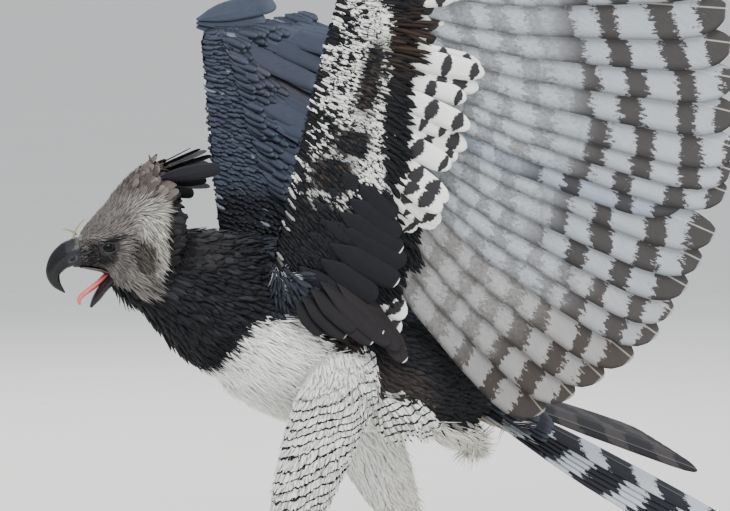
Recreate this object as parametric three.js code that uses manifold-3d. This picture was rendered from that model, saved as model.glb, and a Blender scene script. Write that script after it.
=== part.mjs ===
// A harpy eagle, life size: standing in mid stride with both wings raised, the left one open and the
// right one half folded, bill agape and crest up. Millimetres, +Z up. The bird faces -X, its left is -Y.
// Each flight feather, covert, crest and ruff feather is a thin vane of its own, rooted in the limb that
// carries it.
import * as THREE from "three";
import { mergeVertices } from "three/addons/utils/BufferGeometryUtils.js";
import Module from "manifold-3d";

const wasm = await Module();
wasm.setup();

// Driving dimensions
const GAP = 0.5; // clearance kept between neighbouring sub-parts
const CLEAN = 0.06; // corners that stand out less than this, left by joins and cuts, are smoothed away
const HUMERUS = 172;
const ULNA = 200;
const HAND = 150; // wrist to the end of the finger
const SHOULDER = [-129, -75, 455]; // of the left wing; the right one mirrors it
const LEFT_WRIST = [-102, -196, 774];
const RIGHT_WRIST = [-113, -180, 706]; // as if it were the left one: the right wing is mirrored
const WING_TURN = 12; // degrees that the wing's chord turns outward from straight back
const SECONDARIES = 13;
const TERTIALS = 4;
const PRIMARIES = 10;
const FIRST_FINGER = 21; // counted from the body out: from this flight feather on they are notched
const VANE = 0.7; // thickness of a feather vane
const SHINGLE = 0.11; // a wing feather's tilt about its shaft, so that each lies over the next
const STEP_DOWN = 0.2; // extra depth from one flight feather to the next
const CAMBER = 0.0002; // how far a wing sags behind its bones, per mm squared
const HEAD = [-323, 0, 480]; // middle of the head at the height of the eyes
const HEAD_TURN = 15; // degrees that the head is turned to the bird's right
const EYE = { forward: 0, side: 26, radius: 10.5 };
const TAIL_ROOT = [150, 0, 296];
const TAIL_SLOPE = 27; // degrees below the horizontal
const TAIL_ROLL = 34; // degrees, the left half lower
const TAIL_LENGTH = 395;
const LEFT_LEG = { knee: [-66, -72, 322], ankle: [-140, -86, 142], foot: [-162, -88, 26], turn: 4 };
const RIGHT_LEG = { knee: [-8, 62, 312], ankle: [84, 68, 138], foot: [52, 74, 26], turn: -6 };
const TOE_RADIUS = 10.5;

const V = (x, y, z) => new THREE.Vector3(x, y, z);
const radians = THREE.MathUtils.degToRad;

// Value at place t on straight stretches between stops, which are [place, value] pairs
function table(stops, t) {
  let i = 0;
  while (i < stops.length - 2 && t > stops[i + 1][0]) i++;
  const [[t0, v0], [t1, v1]] = [stops[i], stops[i + 1]];
  return v0 + ((v1 - v0) * (t - t0)) / (t1 - t0);
}

// Joining and cutting
function solidOf(geometry) {
  const plain = new THREE.BufferGeometry();
  plain.setAttribute("position", geometry.getAttribute("position"));
  if (geometry.index) plain.setIndex(geometry.index);
  const merged = mergeVertices(plain, 1e-4);
  const made = new wasm.Manifold(
    new wasm.Mesh({
      numProp: 3,
      vertProperties: new Float32Array(merged.attributes.position.array),
      triVerts: new Uint32Array(merged.index.array),
    }),
  );
  return made;
}

const joined = (solids) => wasm.Manifold.union(solids);
const lessAll = (solid, others) => others.reduce((left, other) => left.subtract(other), solid);

function largest(solid) {
  const bodies = solid.decompose();
  return bodies.reduce((a, b) => (b.volume() > a.volume() ? b : a));
}

function meshOf(name, solid, material) {
  const whole = largest(largest(solid).asOriginal().simplify(CLEAN));
  const { vertProperties, triVerts, numProp } = whole.getMesh();
  const points = new Float32Array((vertProperties.length / numProp) * 3);
  for (let i = 0; i < points.length / 3; i++)
    points.set(vertProperties.subarray(i * numProp, i * numProp + 3), i * 3);
  const geometry = new THREE.BufferGeometry();
  geometry.setAttribute("position", new THREE.BufferAttribute(points, 3));
  geometry.setIndex(new THREE.BufferAttribute(triVerts, 1));
  geometry.computeVertexNormals();
  const mesh = new THREE.Mesh(geometry, material);
  mesh.name = name;
  return mesh;
}

// A closed skin over rings of points. The quads listed in turned are split along their other diagonal.
function overRings(rings, turned = []) {
  const n = rings[0].length;
  const end = (rings.length - 1) * n;
  const faces = [];
  for (let i = 0; i < end; i += n)
    for (let j = 0; j < n; j++) {
      const [a, b, c, d] = [i + j, i + ((j + 1) % n), i + j + n, i + ((j + 1) % n) + n];
      if (turned.includes(j)) faces.push(a, b, c, b, d, c);
      else faces.push(a, b, d, a, d, c);
    }
  for (let j = 1; j < n - 1; j++) faces.push(0, j + 1, j, end, end + j, end + j + 1);
  const points = new Float32Array(rings.flat().flatMap((p) => [p.x, p.y, p.z]));
  const geometry = new THREE.BufferGeometry();
  geometry.setAttribute("position", new THREE.BufferAttribute(points, 3));
  geometry.setIndex(faces);
  const made = solidOf(geometry);
  if (made.volume() > 0) return made;
  geometry.setIndex(faces.reverse());
  return solidOf(geometry);
}

// A rounded body along a smooth path: sizes are half-widths across side and half-heights square to it.
// top narrows the upper half, swell moves the whole skin outward.
function bodyAlong({ path, sizes, side, rings, sides, top = 0, swell = 0 }) {
  const line = new THREE.CatmullRomCurve3(path.map((p) => V(...p)));
  const girth = new THREE.CatmullRomCurve3(sizes.map(([w, h]) => V(w, h, 0)));
  const made = [];
  let last = V(0, 0, 1);
  for (let i = 0; i < rings; i++) {
    const u = i / (rings - 1);
    const at = line.getPoint(u);
    const along = line.getTangent(u);
    const across = side.clone().addScaledVector(along, -side.dot(along)).normalize();
    const up = V(0, 0, 0).crossVectors(across, along).normalize();
    if (up.dot(last) < 0) up.negate();
    last = up;
    const { x: w, y: h } = girth.getPoint(u);
    const ends = i === 0 ? -1 : i === rings - 1 ? 1 : 0;
    made.push(
      Array.from({ length: sides }, (_, j) => {
        const turn = (2 * Math.PI * (j + 0.5)) / sides;
        const narrow = 1 - top * Math.max(0, Math.sin(turn));
        return at
          .clone()
          .addScaledVector(across, (w * narrow + swell) * Math.cos(turn))
          .addScaledVector(up, (h + swell) * Math.sin(turn))
          .addScaledVector(along, ends * swell);
      }),
    );
  }
  return overRings(made);
}

// One feather vane. lead and trail are its half-widths towards the leading and the trailing edge, and shape
// lists [share of the length, share of the width]. tilt turns it about its shaft, and sag gives how far the
// surface that it lies in falls away from a flat one at a point. room makes it fatter all round.
const FLIGHT_SHAPE = [[0, 0.12], [0.16, 0.55], [0.45, 1], [0.86, 0.9], [1, 0.22]];
const FINGER_SHAPE = [[0, 0.12], [0.16, 0.6], [0.5, 1], [0.66, 0.62], [1, 0.14]];
const COVERT_SHAPE = [[0, 0.35], [0.35, 1], [0.82, 0.9], [1, 0.3]];
const SHORT_SHAPE = [[0, 0.5], [0.68, 1], [1, 0.35]];
function vane({ root, along, across, out, length, lead, trail, tilt = 0, sag = () => 0, shape, room = 0 }) {
  const rings = shape.map(([u, width]) => {
    const middle = root.clone().addScaledVector(along, u * length);
    const edge = (w, up) => {
      const flat = middle.clone().addScaledVector(across, w * width);
      return flat.addScaledVector(out, tilt * w * width - sag(flat) + up * (VANE / 2 + room));
    };
    return [edge(lead + room, 1), edge(-trail - room, 1), edge(-trail - room, -1), edge(lead + room, -1)];
  });
  return overRings(rings, [2]);
}

// A tapered lock of soft plumage, bent along its lie
function lock({ root, along, bend, length, width, thick, side }) {
  const tip = root.clone().addScaledVector(along, length).addScaledVector(bend, length);
  const middle = root.clone().addScaledVector(along, length * 0.55).addScaledVector(bend, length * 0.16);
  return bodyAlong({
    path: [root, middle, tip].map((p) => p.toArray()),
    sizes: [[width * 0.7, thick * 0.8], [width, thick], [width * 0.12, thick * 0.15]],
    side,
    rings: 4,
    sides: 5,
  });
}

// Colours
const finish = (color, roughness) => new THREE.MeshStandardMaterial({ color, roughness, metalness: 0 });
const slate = finish(0x2b2e36, 0.8);
const barred = finish(0x8d9094, 0.75);
const pale = finish(0xe4e4e0, 0.9);
const ash = finish(0x8f8a88, 0.85);
const horn = finish(0x1d2026, 0.3);
const skin = finish(0xd9a83a, 0.6);
const flesh = finish(0xd4706a, 0.45);
const glassy = finish(0x15100d, 0.1);

// Torso, with the soft plumage under the tail
const TORSO = {
  path: [[-205, 0, 424], [-140, 0, 398], [-60, 0, 364], [30, 0, 332], [110, 0, 306], [172, 0, 286]],
  sizes: [[62, 76], [85, 99], [94, 106], [84, 86], [56, 56], [24, 24]],
  side: V(0, 1, 0),
  rings: 11,
  sides: 14,
};
const torsoCore = (swell = 0) => bodyAlong({ ...TORSO, swell });

// The soft mass under the tail ends in loose locks
function vent() {
  const mass = bodyAlong({
    path: [[66, 0, 306], [104, 0, 268], [138, 0, 236]],
    sizes: [[52, 46], [44, 36], [24, 18]],
    side: V(0, 1, 0),
    rings: 5,
    sides: 10,
  });
  const locks = [-1, -0.5, 0, 0.5, 1].map((across) =>
    lock({
      root: V(118 - 10 * Math.abs(across), across * 28, 262 + 8 * Math.abs(across)),
      along: V(0.62, across * 0.16, -0.78),
      bend: V(0.12, across * 0.1, -0.1),
      length: 82 - 18 * Math.abs(across),
      width: 15,
      thick: 9,
      side: V(0, 1, 0),
    }),
  );
  return [mass, ...locks];
}

// Neck
const NECK = {
  path: [[-292, 0, 462], [-262, 0, 452], [-228, 0, 437], [-196, 0, 421]],
  sizes: [[40, 44], [46, 54], [56, 68], [66, 80]],
  side: V(0, 1, 0),
  rings: 5,
  sides: 12,
};
const neckCore = (swell = 0) => bodyAlong({ ...NECK, swell });

// Loose hackles on the nape, one row over the other
const HACKLES = [
  // x, z, length, rise, count
  [-250, 499, 50, 46, 5],
  [-238, 493, 60, 31, 4],
  [-222, 484, 58, 14, 4],
];

function hackles(room = 0) {
  return HACKLES.flatMap(([x, z, length, rise, count]) =>
    Array.from({ length: count }, (_, k) => {
      const across = (2 * k) / (count - 1) - 1;
      return vane({
        root: V(x, 30 * across, z - 13 * across ** 2),
        along: V(Math.cos(radians(rise)), 0.3 * across, Math.sin(radians(rise))).normalize(),
        across: V(0, 1, -0.7 * across).normalize(),
        out: V(-0.3, 0.7 * across, 1).normalize(),
        length,
        lead: 13,
        trail: 13,
        tilt: 0.12,
        shape: SHORT_SHAPE,
        room,
      });
    }),
  );
}

// Head: local axes are forward, left and up, from the middle of the head at eye height
const turnOfHead = radians(HEAD_TURN);
const headFrame = new THREE.Matrix4().makeBasis(
  V(-Math.cos(turnOfHead), Math.sin(turnOfHead), 0),
  V(-Math.sin(turnOfHead), -Math.cos(turnOfHead), 0),
  V(0, 0, 1),
);
headFrame.setPosition(...HEAD);
const headPoint = (forward, left, up) => V(forward, left, up).applyMatrix4(headFrame);
const headWay = (forward, left, up) => V(forward, left, up).transformDirection(headFrame);
const GAPE = -24; // height of the mouth's roof
const HEAD_PROFILE = [
  // forward, lowest, highest, half-width
  [33, GAPE, 13, 14],
  [26, GAPE, 24, 19],
  [12, GAPE - 1, 39, 27],
  [1, GAPE - 6, 50, 32],
  [-9, -46, 62, 38],
  [-24, -60, 78, 47],
  [-40, -60, 90, 54],
  [-56, -50, 86, 56],
  [-68, -30, 66, 46],
];

function headCore(swell = 0) {
  const sides = 14;
  const rings = HEAD_PROFILE.map(([forward, low, high, width], i) => {
    const ends = i === 0 ? swell : i === HEAD_PROFILE.length - 1 ? -swell : 0;
    return Array.from({ length: sides }, (_, j) => {
      const turn = (2 * Math.PI * (j + 0.5)) / sides;
      const lift = Math.sin(turn);
      const narrow = lift > 0 ? 1 - 0.5 * lift ** 2 : 1;
      const height = (high - low) / 2 + swell;
      const left = (width * narrow + swell) * Math.cos(turn);
      return headPoint(forward + ends, left, (high + low) / 2 + height * lift);
    });
  });
  return overRings(rings);
}

function ball(centre, radii, frame = null, detail = 10) {
  const geometry = new THREE.SphereGeometry(1, detail, detail - 3);
  geometry.scale(...radii);
  geometry.translate(...centre);
  if (frame) geometry.applyMatrix4(frame);
  return solidOf(geometry);
}

// The eye lids: a ring round each eye
function lids(sign) {
  const geometry = new THREE.TorusGeometry(EYE.radius - 0.5, 2.6, 5, 12);
  geometry.rotateX(Math.PI / 2);
  geometry.translate(EYE.forward, sign * (EYE.side + 3), 0);
  geometry.applyMatrix4(headFrame);
  return solidOf(geometry);
}

// Ruff: the feathers round the rim of each half of the facial disc
function ruffVanes(sign) {
  const count = 13;
  return Array.from({ length: count }, (_, i) => {
    const t = i / (count - 1);
    const turn = radians(128 - 218 * t); // from above the ear round to the chin
    const forward = -46 + 26 * t ** 2;
    const left = sign * (9 + 34 * Math.cos(turn) ** 2 + 6 * Math.max(0, Math.cos(turn)));
    const up = 12 + 52 * Math.sin(turn);
    const outward = Math.abs(Math.cos(turn));
    const lift = Math.sin(turn);
    return vane({
      root: headPoint(forward, left, up),
      along: headWay(-0.78 + 0.25 * t, sign * (0.3 + 0.25 * outward), 0.5 * lift - 0.1),
      across: headWay(0, sign * lift, -Math.cos(turn)).normalize(),
      out: headWay(0.42, sign * (0.5 + 0.4 * outward), 0.4 * lift),
      length: 40 - 6 * t,
      lead: 8.5,
      trail: 8.5,
      tilt: 0.16,
      shape: SHORT_SHAPE,
    });
  });
}

// Crest: rows of short crown feathers, then the long black ones
function crownVanes() {
  const made = [];
  const rows = [[-8, 55, 34, 3], [-22, 71, 40, 3], [-36, 84, 46, 5]]; // forward, up, length, count
  for (const [forward, up, length, count] of rows)
    for (let k = 0; k < count; k++) {
      const across = (2 * k) / (count - 1) - 1;
      made.push(
        vane({
          root: headPoint(forward, across * 15, up - 6 * across ** 2 - 4),
          along: headWay(-0.72, across * 0.16, 0.62),
          across: headWay(0, 1, -0.35 * across),
          out: headWay(0.62, 0.35 * across, 0.72),
          length,
          lead: 8,
          trail: 8,
          tilt: 0.12,
          shape: SHORT_SHAPE,
        }),
      );
    }
  return made;
}

const CREST = [
  // side, forward, up, rise, length, half-width, roll in degrees
  [0.0, -52, 84, 24, 62, 9, 8],
  [0.62, -52, 81, 16, 74, 9, 24],
  [-0.62, -52, 81, 20, 70, 9, -14],
  [1.25, -54, 76, 8, 74, 9, 30],
  [-1.25, -54, 76, 11, 70, 9, -26],
  [0.34, -58, 70, 2, 76, 9.5, 34],
  [-0.4, -58, 68, -3, 70, 9.5, -20],
];

function crestVanes(room = 0) {
  return CREST.map(([side, forward, up, rise, length, width, roll]) => {
    const along = headWay(-Math.cos(radians(rise)), side * 0.14, Math.sin(radians(rise))).normalize();
    const turn = new THREE.Quaternion().setFromAxisAngle(along, radians(roll));
    const across = headWay(0, 1, 0);
    across.addScaledVector(along, -across.dot(along)).normalize().applyQuaternion(turn);
    return vane({
      root: headPoint(forward, side * 16, up),
      along,
      across,
      out: V(0, 0, 0).crossVectors(along, across),
      length,
      lead: width,
      trail: width,
      shape: FLIGHT_SHAPE,
      room,
    });
  });
}

// The crest stands on a low pad of skin behind the crown
const crestPad = (swell = 0) =>
  ball([-58, 0, 79], [15 + swell, 26 + swell, 17 + swell], headFrame);

// Bill
const UPPER_BILL = {
  path: [[32, 0, -7], [44, 0, -9], [54, 0, -17], [60, 0, -29], [57, 0, -41], [47, 0, -52]],
  sizes: [[14, 17], [12.5, 14.5], [10.5, 12], [8, 8.5], [5, 5.5], [0.8, 0.8]],
  side: V(0, 1, 0),
  rings: 9,
  sides: 10,
};
const LOWER_BILL = {
  path: [[-10, 0, -33], [2, 0, -46], [11, 0, -58], [18, 0, -69]],
  sizes: [[17, 6], [14, 5.5], [10, 5], [3, 1.6]],
  side: V(0, 1, 0),
  rings: 6,
  sides: 8,
};
const TONGUE = {
  path: [[-4, 0, -30], [8, 0, -41], [20, 0, -50], [28, 0, -56], [30, 0, -65]],
  sizes: [[6, 2.8], [6.5, 2.6], [6, 2.4], [5, 2.2], [1.6, 1.2]],
  side: V(0, 1, 0),
  rings: 7,
  sides: 6,
};

function placedOnHead(body) {
  const moved = body.path.map((p) => headPoint(...p).toArray());
  return { ...body, path: moved, side: headWay(0, 1, 0) };
}

function upperBill() {
  const whole = bodyAlong(placedOnHead(UPPER_BILL));
  const nostrils = [1, -1].map((sign) => {
    const geometry = new THREE.SphereGeometry(1, 10, 6);
    geometry.scale(3.4, 2.4, 1.9);
    geometry.rotateY(radians(-38));
    geometry.translate(38, sign * 13.6, -13);
    geometry.applyMatrix4(headFrame);
    return solidOf(geometry);
  });
  return lessAll(whole, nostrils);
}

// Legs
function thighCore(leg, swell = 0) {
  const [k, a] = [V(...leg.knee), V(...leg.ankle)];
  const at = (u) => k.clone().lerp(a, u).toArray();
  const hip = k.clone().lerp(a, -0.22).setY(k.y * 0.7).toArray();
  return bodyAlong({
    path: [hip, at(0), at(0.3), at(0.65), at(0.95), at(1.14)],
    sizes: [[34, 44], [44, 52], [42, 47], [35, 40], [22, 26], [13, 14]],
    side: V(0, 1, 0),
    rings: 7,
    sides: 12,
    swell,
  });
}

function shank(leg, swell = 0) {
  const middle = V(...leg.ankle).lerp(V(...leg.foot), 0.5).toArray();
  const heel = V(...leg.ankle).lerp(V(...leg.knee), 0.1).toArray();
  return bodyAlong({
    path: [heel, leg.ankle, middle, leg.foot, [leg.foot[0] - 2, leg.foot[1], 13]],
    sizes: [[11, 12], [12.5, 14], [9.5, 11], [12, 14], [15, 16]],
    side: V(0, 1, 0),
    rings: 7,
    sides: 8,
    swell,
  });
}

const TOES = [
  // name, way in degrees from straight ahead (left positive), length, claw
  ["inner", 32, 60, 50],
  ["middle", 2, 84, 38],
  ["outer", -36, 66, 34],
  ["hind", 172, 46, 58],
];

function toeWay(leg, sign, way) {
  const turn = radians(way * sign + leg.turn);
  return V(-Math.cos(turn), -Math.sin(turn), 0);
}

// The palm has a flat face towards each toe
const PALM_FACE = 17;
const underFoot = (leg) => V(leg.foot[0], leg.foot[1], 0);
function palm(leg, sign) {
  const whole = ball([leg.foot[0], leg.foot[1], 12], [24, 24, 15], null, 8);
  return TOES.reduce((kept, [, way]) => {
    const ahead = toeWay(leg, sign, way);
    return beyond(kept, ahead.clone().negate(), underFoot(leg).addScaledVector(ahead, PALM_FACE));
  }, whole);
}

// A toe runs from the palm along the floor, arched at its joints

function toe(leg, sign, [, way, length]) {
  const ahead = toeWay(leg, sign, way);
  const from = underFoot(leg).addScaledVector(ahead, PALM_FACE);
  const point = (u, z) => from.clone().addScaledVector(ahead, u * length).setZ(z).toArray();
  return bodyAlong({
    path: [point(-0.1, 12), point(0.28, 11.5), point(0.6, 9.6), point(0.8, 9.2), point(1.08, 10)],
    sizes: [[TOE_RADIUS, 11.5], [TOE_RADIUS, 11.5], [9.5, 10.7], [9, 10.4], [7, 7.5]],
    side: V(0, 0, 1).cross(ahead),
    rings: 5,
    sides: 8,
  });
}

// The front toes part along the lines half way between them
function betweenToes(solid, leg, sign, way) {
  let kept = solid;
  for (const parting of [17, -17]) {
    if (Math.abs(way) > 90) continue;
    const line = toeWay(leg, sign, parting);
    const square = V(-line.y, line.x, 0);
    if (square.dot(toeWay(leg, sign, way)) < 0) square.negate();
    kept = beyond(kept, square, underFoot(leg).addScaledVector(square, GAP / 2));
  }
  return kept;
}

// A claw leaves its toe's end, arches up and curves down to just above the floor
function claw(leg, sign, [name, way, length, reach]) {
  const ahead = toeWay(leg, sign, way);
  const from = underFoot(leg).addScaledVector(ahead, PALM_FACE + length);
  const base = name === "hind" ? 8.5 : 6.5;
  const rise = reach * 0.2;
  const heights = [[-0.05, 10], [0.28, 11 + rise], [0.62, 9 + rise], [0.86, rise * 0.7], [0.97, 1.2]];
  const taper = [[1, 1], [0.8, 0.85], [0.58, 0.62], [0.32, 0.36], [0.5 / base, 0.5 / base]];
  return bodyAlong({
    path: heights.map(([u, z]) => from.clone().addScaledVector(ahead, u * reach).setZ(z).toArray()),
    sizes: taper.map(([w, h]) => [base * w, base * h]),
    side: V(0, 0, 1).cross(ahead),
    rings: 5,
    sides: 6,
  });
}

// Everything that stands on the floor is cut level with it
const aboveFloor = (solid) => solid.trimByPlane([0, 0, 1], 0);
const beyond = (solid, normal, point) => {
  const n = normal.clone().normalize();
  return solid.trimByPlane(n.toArray(), n.dot(point));
};

// Tail: twelve feathers, the left six close together and the right six apart and a little higher
const slope = radians(TAIL_SLOPE);
const tailBack = V(Math.cos(slope), 0, -Math.sin(slope));
const tailLevel = V(0, 1, 0); // towards the bird's right
const rolled = new THREE.Quaternion().setFromAxisAngle(tailBack, radians(TAIL_ROLL));
const tailOut = V(Math.sin(slope), 0, Math.cos(slope)).applyQuaternion(rolled);
const tailAcross = tailLevel.clone().applyQuaternion(rolled);
const tailFrom = V(...TAIL_ROOT);

const onTail = (back, across, up) =>
  tailFrom
    .clone()
    .addScaledVector(tailAcross, across)
    .addScaledVector(tailOut, up)
    .addScaledVector(tailBack, back);

function tailFeather(side, k) {
  // side is -1 on the left; k runs from 0 in the middle to 5 at the edge
  const yaw = radians(side < 0 ? 1 - 1.5 * k : 14.5 + 0.9 * k);
  const along = tailBack.clone().multiplyScalar(Math.cos(yaw)).addScaledVector(tailAcross, Math.sin(yaw));
  const across = tailAcross.clone().multiplyScalar(Math.cos(yaw)).addScaledVector(tailBack, -Math.sin(yaw));
  const depth = -1.15 * (2 * k + (side > 0 ? 1 : 0));
  return {
    root: onTail(0, side * (2 + 4.2 * k), depth),
    along,
    across: across.multiplyScalar(side),
    out: tailOut,
    length: TAIL_LENGTH - 9 * k - (side > 0 ? 26 : 0),
    lead: 15,
    trail: 27,
    shape: FLIGHT_SHAPE,
  };
}

function tailVanes() {
  const made = [];
  for (const side of [-1, 1]) for (let k = 0; k < 6; k++) made.push(vane(tailFeather(side, k)));
  return made;
}

function tailCoverts() {
  const made = [];
  for (const face of [1, -1])
    for (let k = 0; k < 5; k++) {
      const across = (k - 2) / 2;
      const yaw = radians(3 + 9 * across);
      made.push(
        vane({
          root: onTail(0, 16 * across, face > 0 ? 6 : -19),
          along: tailBack.clone().multiplyScalar(Math.cos(yaw)).addScaledVector(tailAcross, Math.sin(yaw)),
          across: tailAcross,
          out: tailOut,
          length: 118 - 16 * Math.abs(across),
          lead: 15,
          trail: 15,
          tilt: 0.16,
          shape: COVERT_SHAPE,
        }),
      );
    }
  return made;
}

const tailCore = (swell = 0) =>
  bodyAlong({
    path: [-6, 22, 50].map((back) => onTail(back, 0, -6).toArray()),
    sizes: [[30, 21], [33, 20], [30, 17]],
    side: tailAcross,
    rings: 3,
    sides: 8,
    swell,
  });

// Wings are laid out as a left one: a runs from shoulder to wrist, c back across the wing and n out of its
// upper face. The right wing is mirrored at the end.
function wingFrame(wrist) {
  const [s, w] = [V(...SHOULDER), V(...wrist)];
  const a = w.clone().sub(s);
  const span = a.length();
  a.normalize();
  const back = V(Math.cos(radians(WING_TURN)), -Math.sin(radians(WING_TURN)), 0);
  const c = back.addScaledVector(a, -back.dot(a)).normalize();
  const n = V(0, 0, 0).crossVectors(a, c);
  const elbowAlong = (HUMERUS ** 2 - ULNA ** 2 + span ** 2) / (2 * span);
  const elbowBack = Math.sqrt(HUMERUS ** 2 - elbowAlong ** 2);
  const at = (x, y, z = 0) => s.clone().addScaledVector(a, x).addScaledVector(c, y).addScaledVector(n, z);
  const bone = (x) => table([[0, 0], [elbowAlong, elbowBack], [span, 0]], x);
  const sag = (point) => CAMBER * Math.max(0, point.clone().sub(s).dot(c)) ** 2;
  return { a, c, n, span, elbowAlong, elbowBack, at, bone, sag };
}

const LEFT_WING = {
  frame: wingFrame(LEFT_WRIST),
  handTurn: 20, // of the hand, from the line of the arm towards the back
  thumb: { along: 8, ahead: 30, turn: 1 }, // from the wrist, and its turn towards the back
  // degrees that feather i points inward, and how far it reaches
  fan: [[0, 41], [4, 25], [8, 12.5], [12, 5.7], [16, -8], [17, -12], [26, -65]],
  reach: [[0, 370], [4, 406], [8, 434], [12, 447], [16, 418], [17, 410], [22, 468], [26, 372]],
  shortFeather: 9, // still growing
  open: true,
};
const RIGHT_WING = {
  frame: wingFrame(RIGHT_WRIST),
  handTurn: 78,
  thumb: { along: 19, ahead: 26, turn: 74 },
  fan: [[0, 44], [4, 34], [8, 29], [12, 26], [16, 24], [17, 19], [26, 11]],
  reach: [[0, 340], [4, 380], [8, 405], [12, 415], [16, 400], [17, 400], [22, 462], [26, 380]],
  shortFeather: null,
  open: false,
};

// Where flight feather i is rooted: tertials on the humerus, secondaries on the ulna, primaries on the hand
function rootPlace(wing, i) {
  const { span, elbowAlong, bone } = wing.frame;
  if (i < TERTIALS) {
    const x = elbowAlong - 7 - 12 * (TERTIALS - 1 - i);
    return { x, y: bone(x) };
  }
  if (i < TERTIALS + SECONDARIES) {
    const x = elbowAlong + ((span - elbowAlong) * (i - TERTIALS + 0.5)) / SECONDARIES;
    return { x, y: bone(x) };
  }
  const r = 12 + ((HAND - 18) * (i - TERTIALS - SECONDARIES)) / (PRIMARIES - 1);
  const turn = radians(wing.handTurn);
  return { x: span + r * Math.cos(turn), y: r * Math.sin(turn) };
}

// A feather of a tier that starts at distance back from the bone, at a depth above or below the flight
// feathers. The tiers come closer together towards the thinner hand.
const THINNING = [[6, 1], [17, 0.78], [26, 0.6]];
function wingFeather(wing, i, { back, depth, length, lead, trail, shape }) {
  const { a, c, n, at } = wing.frame;
  const { x, y } = rootPlace(wing, i);
  const inward = radians(table(wing.fan, i));
  const along = c.clone().multiplyScalar(Math.cos(inward)).addScaledVector(a, -Math.sin(inward));
  const across = a.clone().multiplyScalar(Math.cos(inward)).addScaledVector(c, Math.sin(inward));
  return {
    root: at(x, y, depth * table(THINNING, i) - STEP_DOWN * (i - 13)).addScaledVector(along, back),
    along,
    across,
    out: n,
    length,
    lead,
    trail,
    tilt: SHINGLE,
    sag: wing.frame.sag,
    shape,
  };
}

const FIRST_PRIMARY = TERTIALS + SECONDARIES;
const isPrimary = (i) => i >= FIRST_PRIMARY;
const nodeOf = (i) => (i < TERTIALS ? "upper_arm" : isPrimary(i) ? "hand" : "forearm");

function flightFeather(wing, i) {
  const finger = i >= FIRST_FINGER && wing.open;
  const short = i === wing.shortFeather ? 0.82 : 1;
  const wide = isPrimary(i) ? 58 - 1.2 * (i - FIRST_PRIMARY) : 62;
  return wingFeather(wing, i, {
    back: 4,
    depth: 0,
    length: table(wing.reach, i) * short - 4,
    lead: wide * 0.3,
    trail: wide * 0.7,
    shape: finger ? FINGER_SHAPE : FLIGHT_SHAPE,
  });
}

// Tiers of coverts, placed at even steps of i: greater and median ones on the upper face, then on the under
const TIERS = [
  { count: 15, back: 2, depth: 6.2, length: 150, half: 23, shape: COVERT_SHAPE },
  { count: 12, back: -14, depth: 14, length: 86, half: 23, shape: SHORT_SHAPE },
  { count: 15, back: 2, depth: -9, length: 128, half: 22, shape: COVERT_SHAPE },
  { count: 12, back: -14, depth: -16, length: 74, half: 22, shape: SHORT_SHAPE },
];

function covertPlaces(tier) {
  const [first, last] = [0.4, FIRST_PRIMARY + PRIMARIES - 1.4];
  return Array.from({ length: tier.count }, (_, k) => first + ((last - first) * k) / (tier.count - 1));
}

function covert(wing, { back, depth, length, half, shape }, i) {
  return wingFeather(wing, i, {
    back,
    depth,
    length: length * (1 - 0.012 * Math.abs(i - 13)),
    lead: half * table(THINNING, i),
    trail: half * table(THINNING, i),
    shape,
  });
}

// Cross section of a wing's limb: a sharp leading edge, thickest over the bone, with a flat rear face
function limbSection(at, { lead, bone, rear, thick }, swell) {
  const front = [lead + 12, 0.3 * thick + swell];
  const top = [front, [bone, thick + swell], [rear + swell, 0.82 * thick + swell]];
  const under = top.map(([y, z]) => [y, -z]).reverse();
  return [[lead - 3 * swell, 0], ...top, ...under].map(([y, z]) => at(y, z));
}

// The arm under its short plumage, from behind the shoulder to past the wrist
function armBlade(wing, swell = 0) {
  const { span, at, bone } = wing.frame;
  const stations = 9;
  const rings = [];
  for (let i = 0; i < stations; i++) {
    const u = i / (stations - 1);
    const x = -34 - swell + (span + 46 + 2 * swell) * u;
    const middle = bone(Math.max(0, Math.min(span, x)));
    const lead = -21 - 5 * Math.sin(Math.PI * u);
    const section = { lead, bone: middle, rear: middle + 22, thick: 27 - 11 * u };
    rings.push(limbSection((y, z) => at(x, y, z), section, swell));
  }
  return overRings(rings);
}

function handBlade(wing, swell = 0) {
  const { a, c, n, span, at } = wing.frame;
  const turn = radians(wing.handTurn);
  const out = a.clone().multiplyScalar(Math.cos(turn)).addScaledVector(c, Math.sin(turn));
  const back = c.clone().multiplyScalar(Math.cos(turn)).addScaledVector(a, -Math.sin(turn));
  const stops = [[-8, 20, 16], [40, 19, 15], [95, 14, 11], [HAND + 8, 6, 5]]; // along, half-width, depth
  const rings = stops.map(([r, wide, thick], k) => {
    const ends = k === 0 ? -swell : k === stops.length - 1 ? swell : 0;
    const place = (y, z) => at(span, 0, z).addScaledVector(out, r + ends).addScaledVector(back, y);
    return limbSection(place, { lead: -wide, bone: 0, rear: wide * 0.9, thick }, swell);
  });
  return overRings(rings);
}

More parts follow.
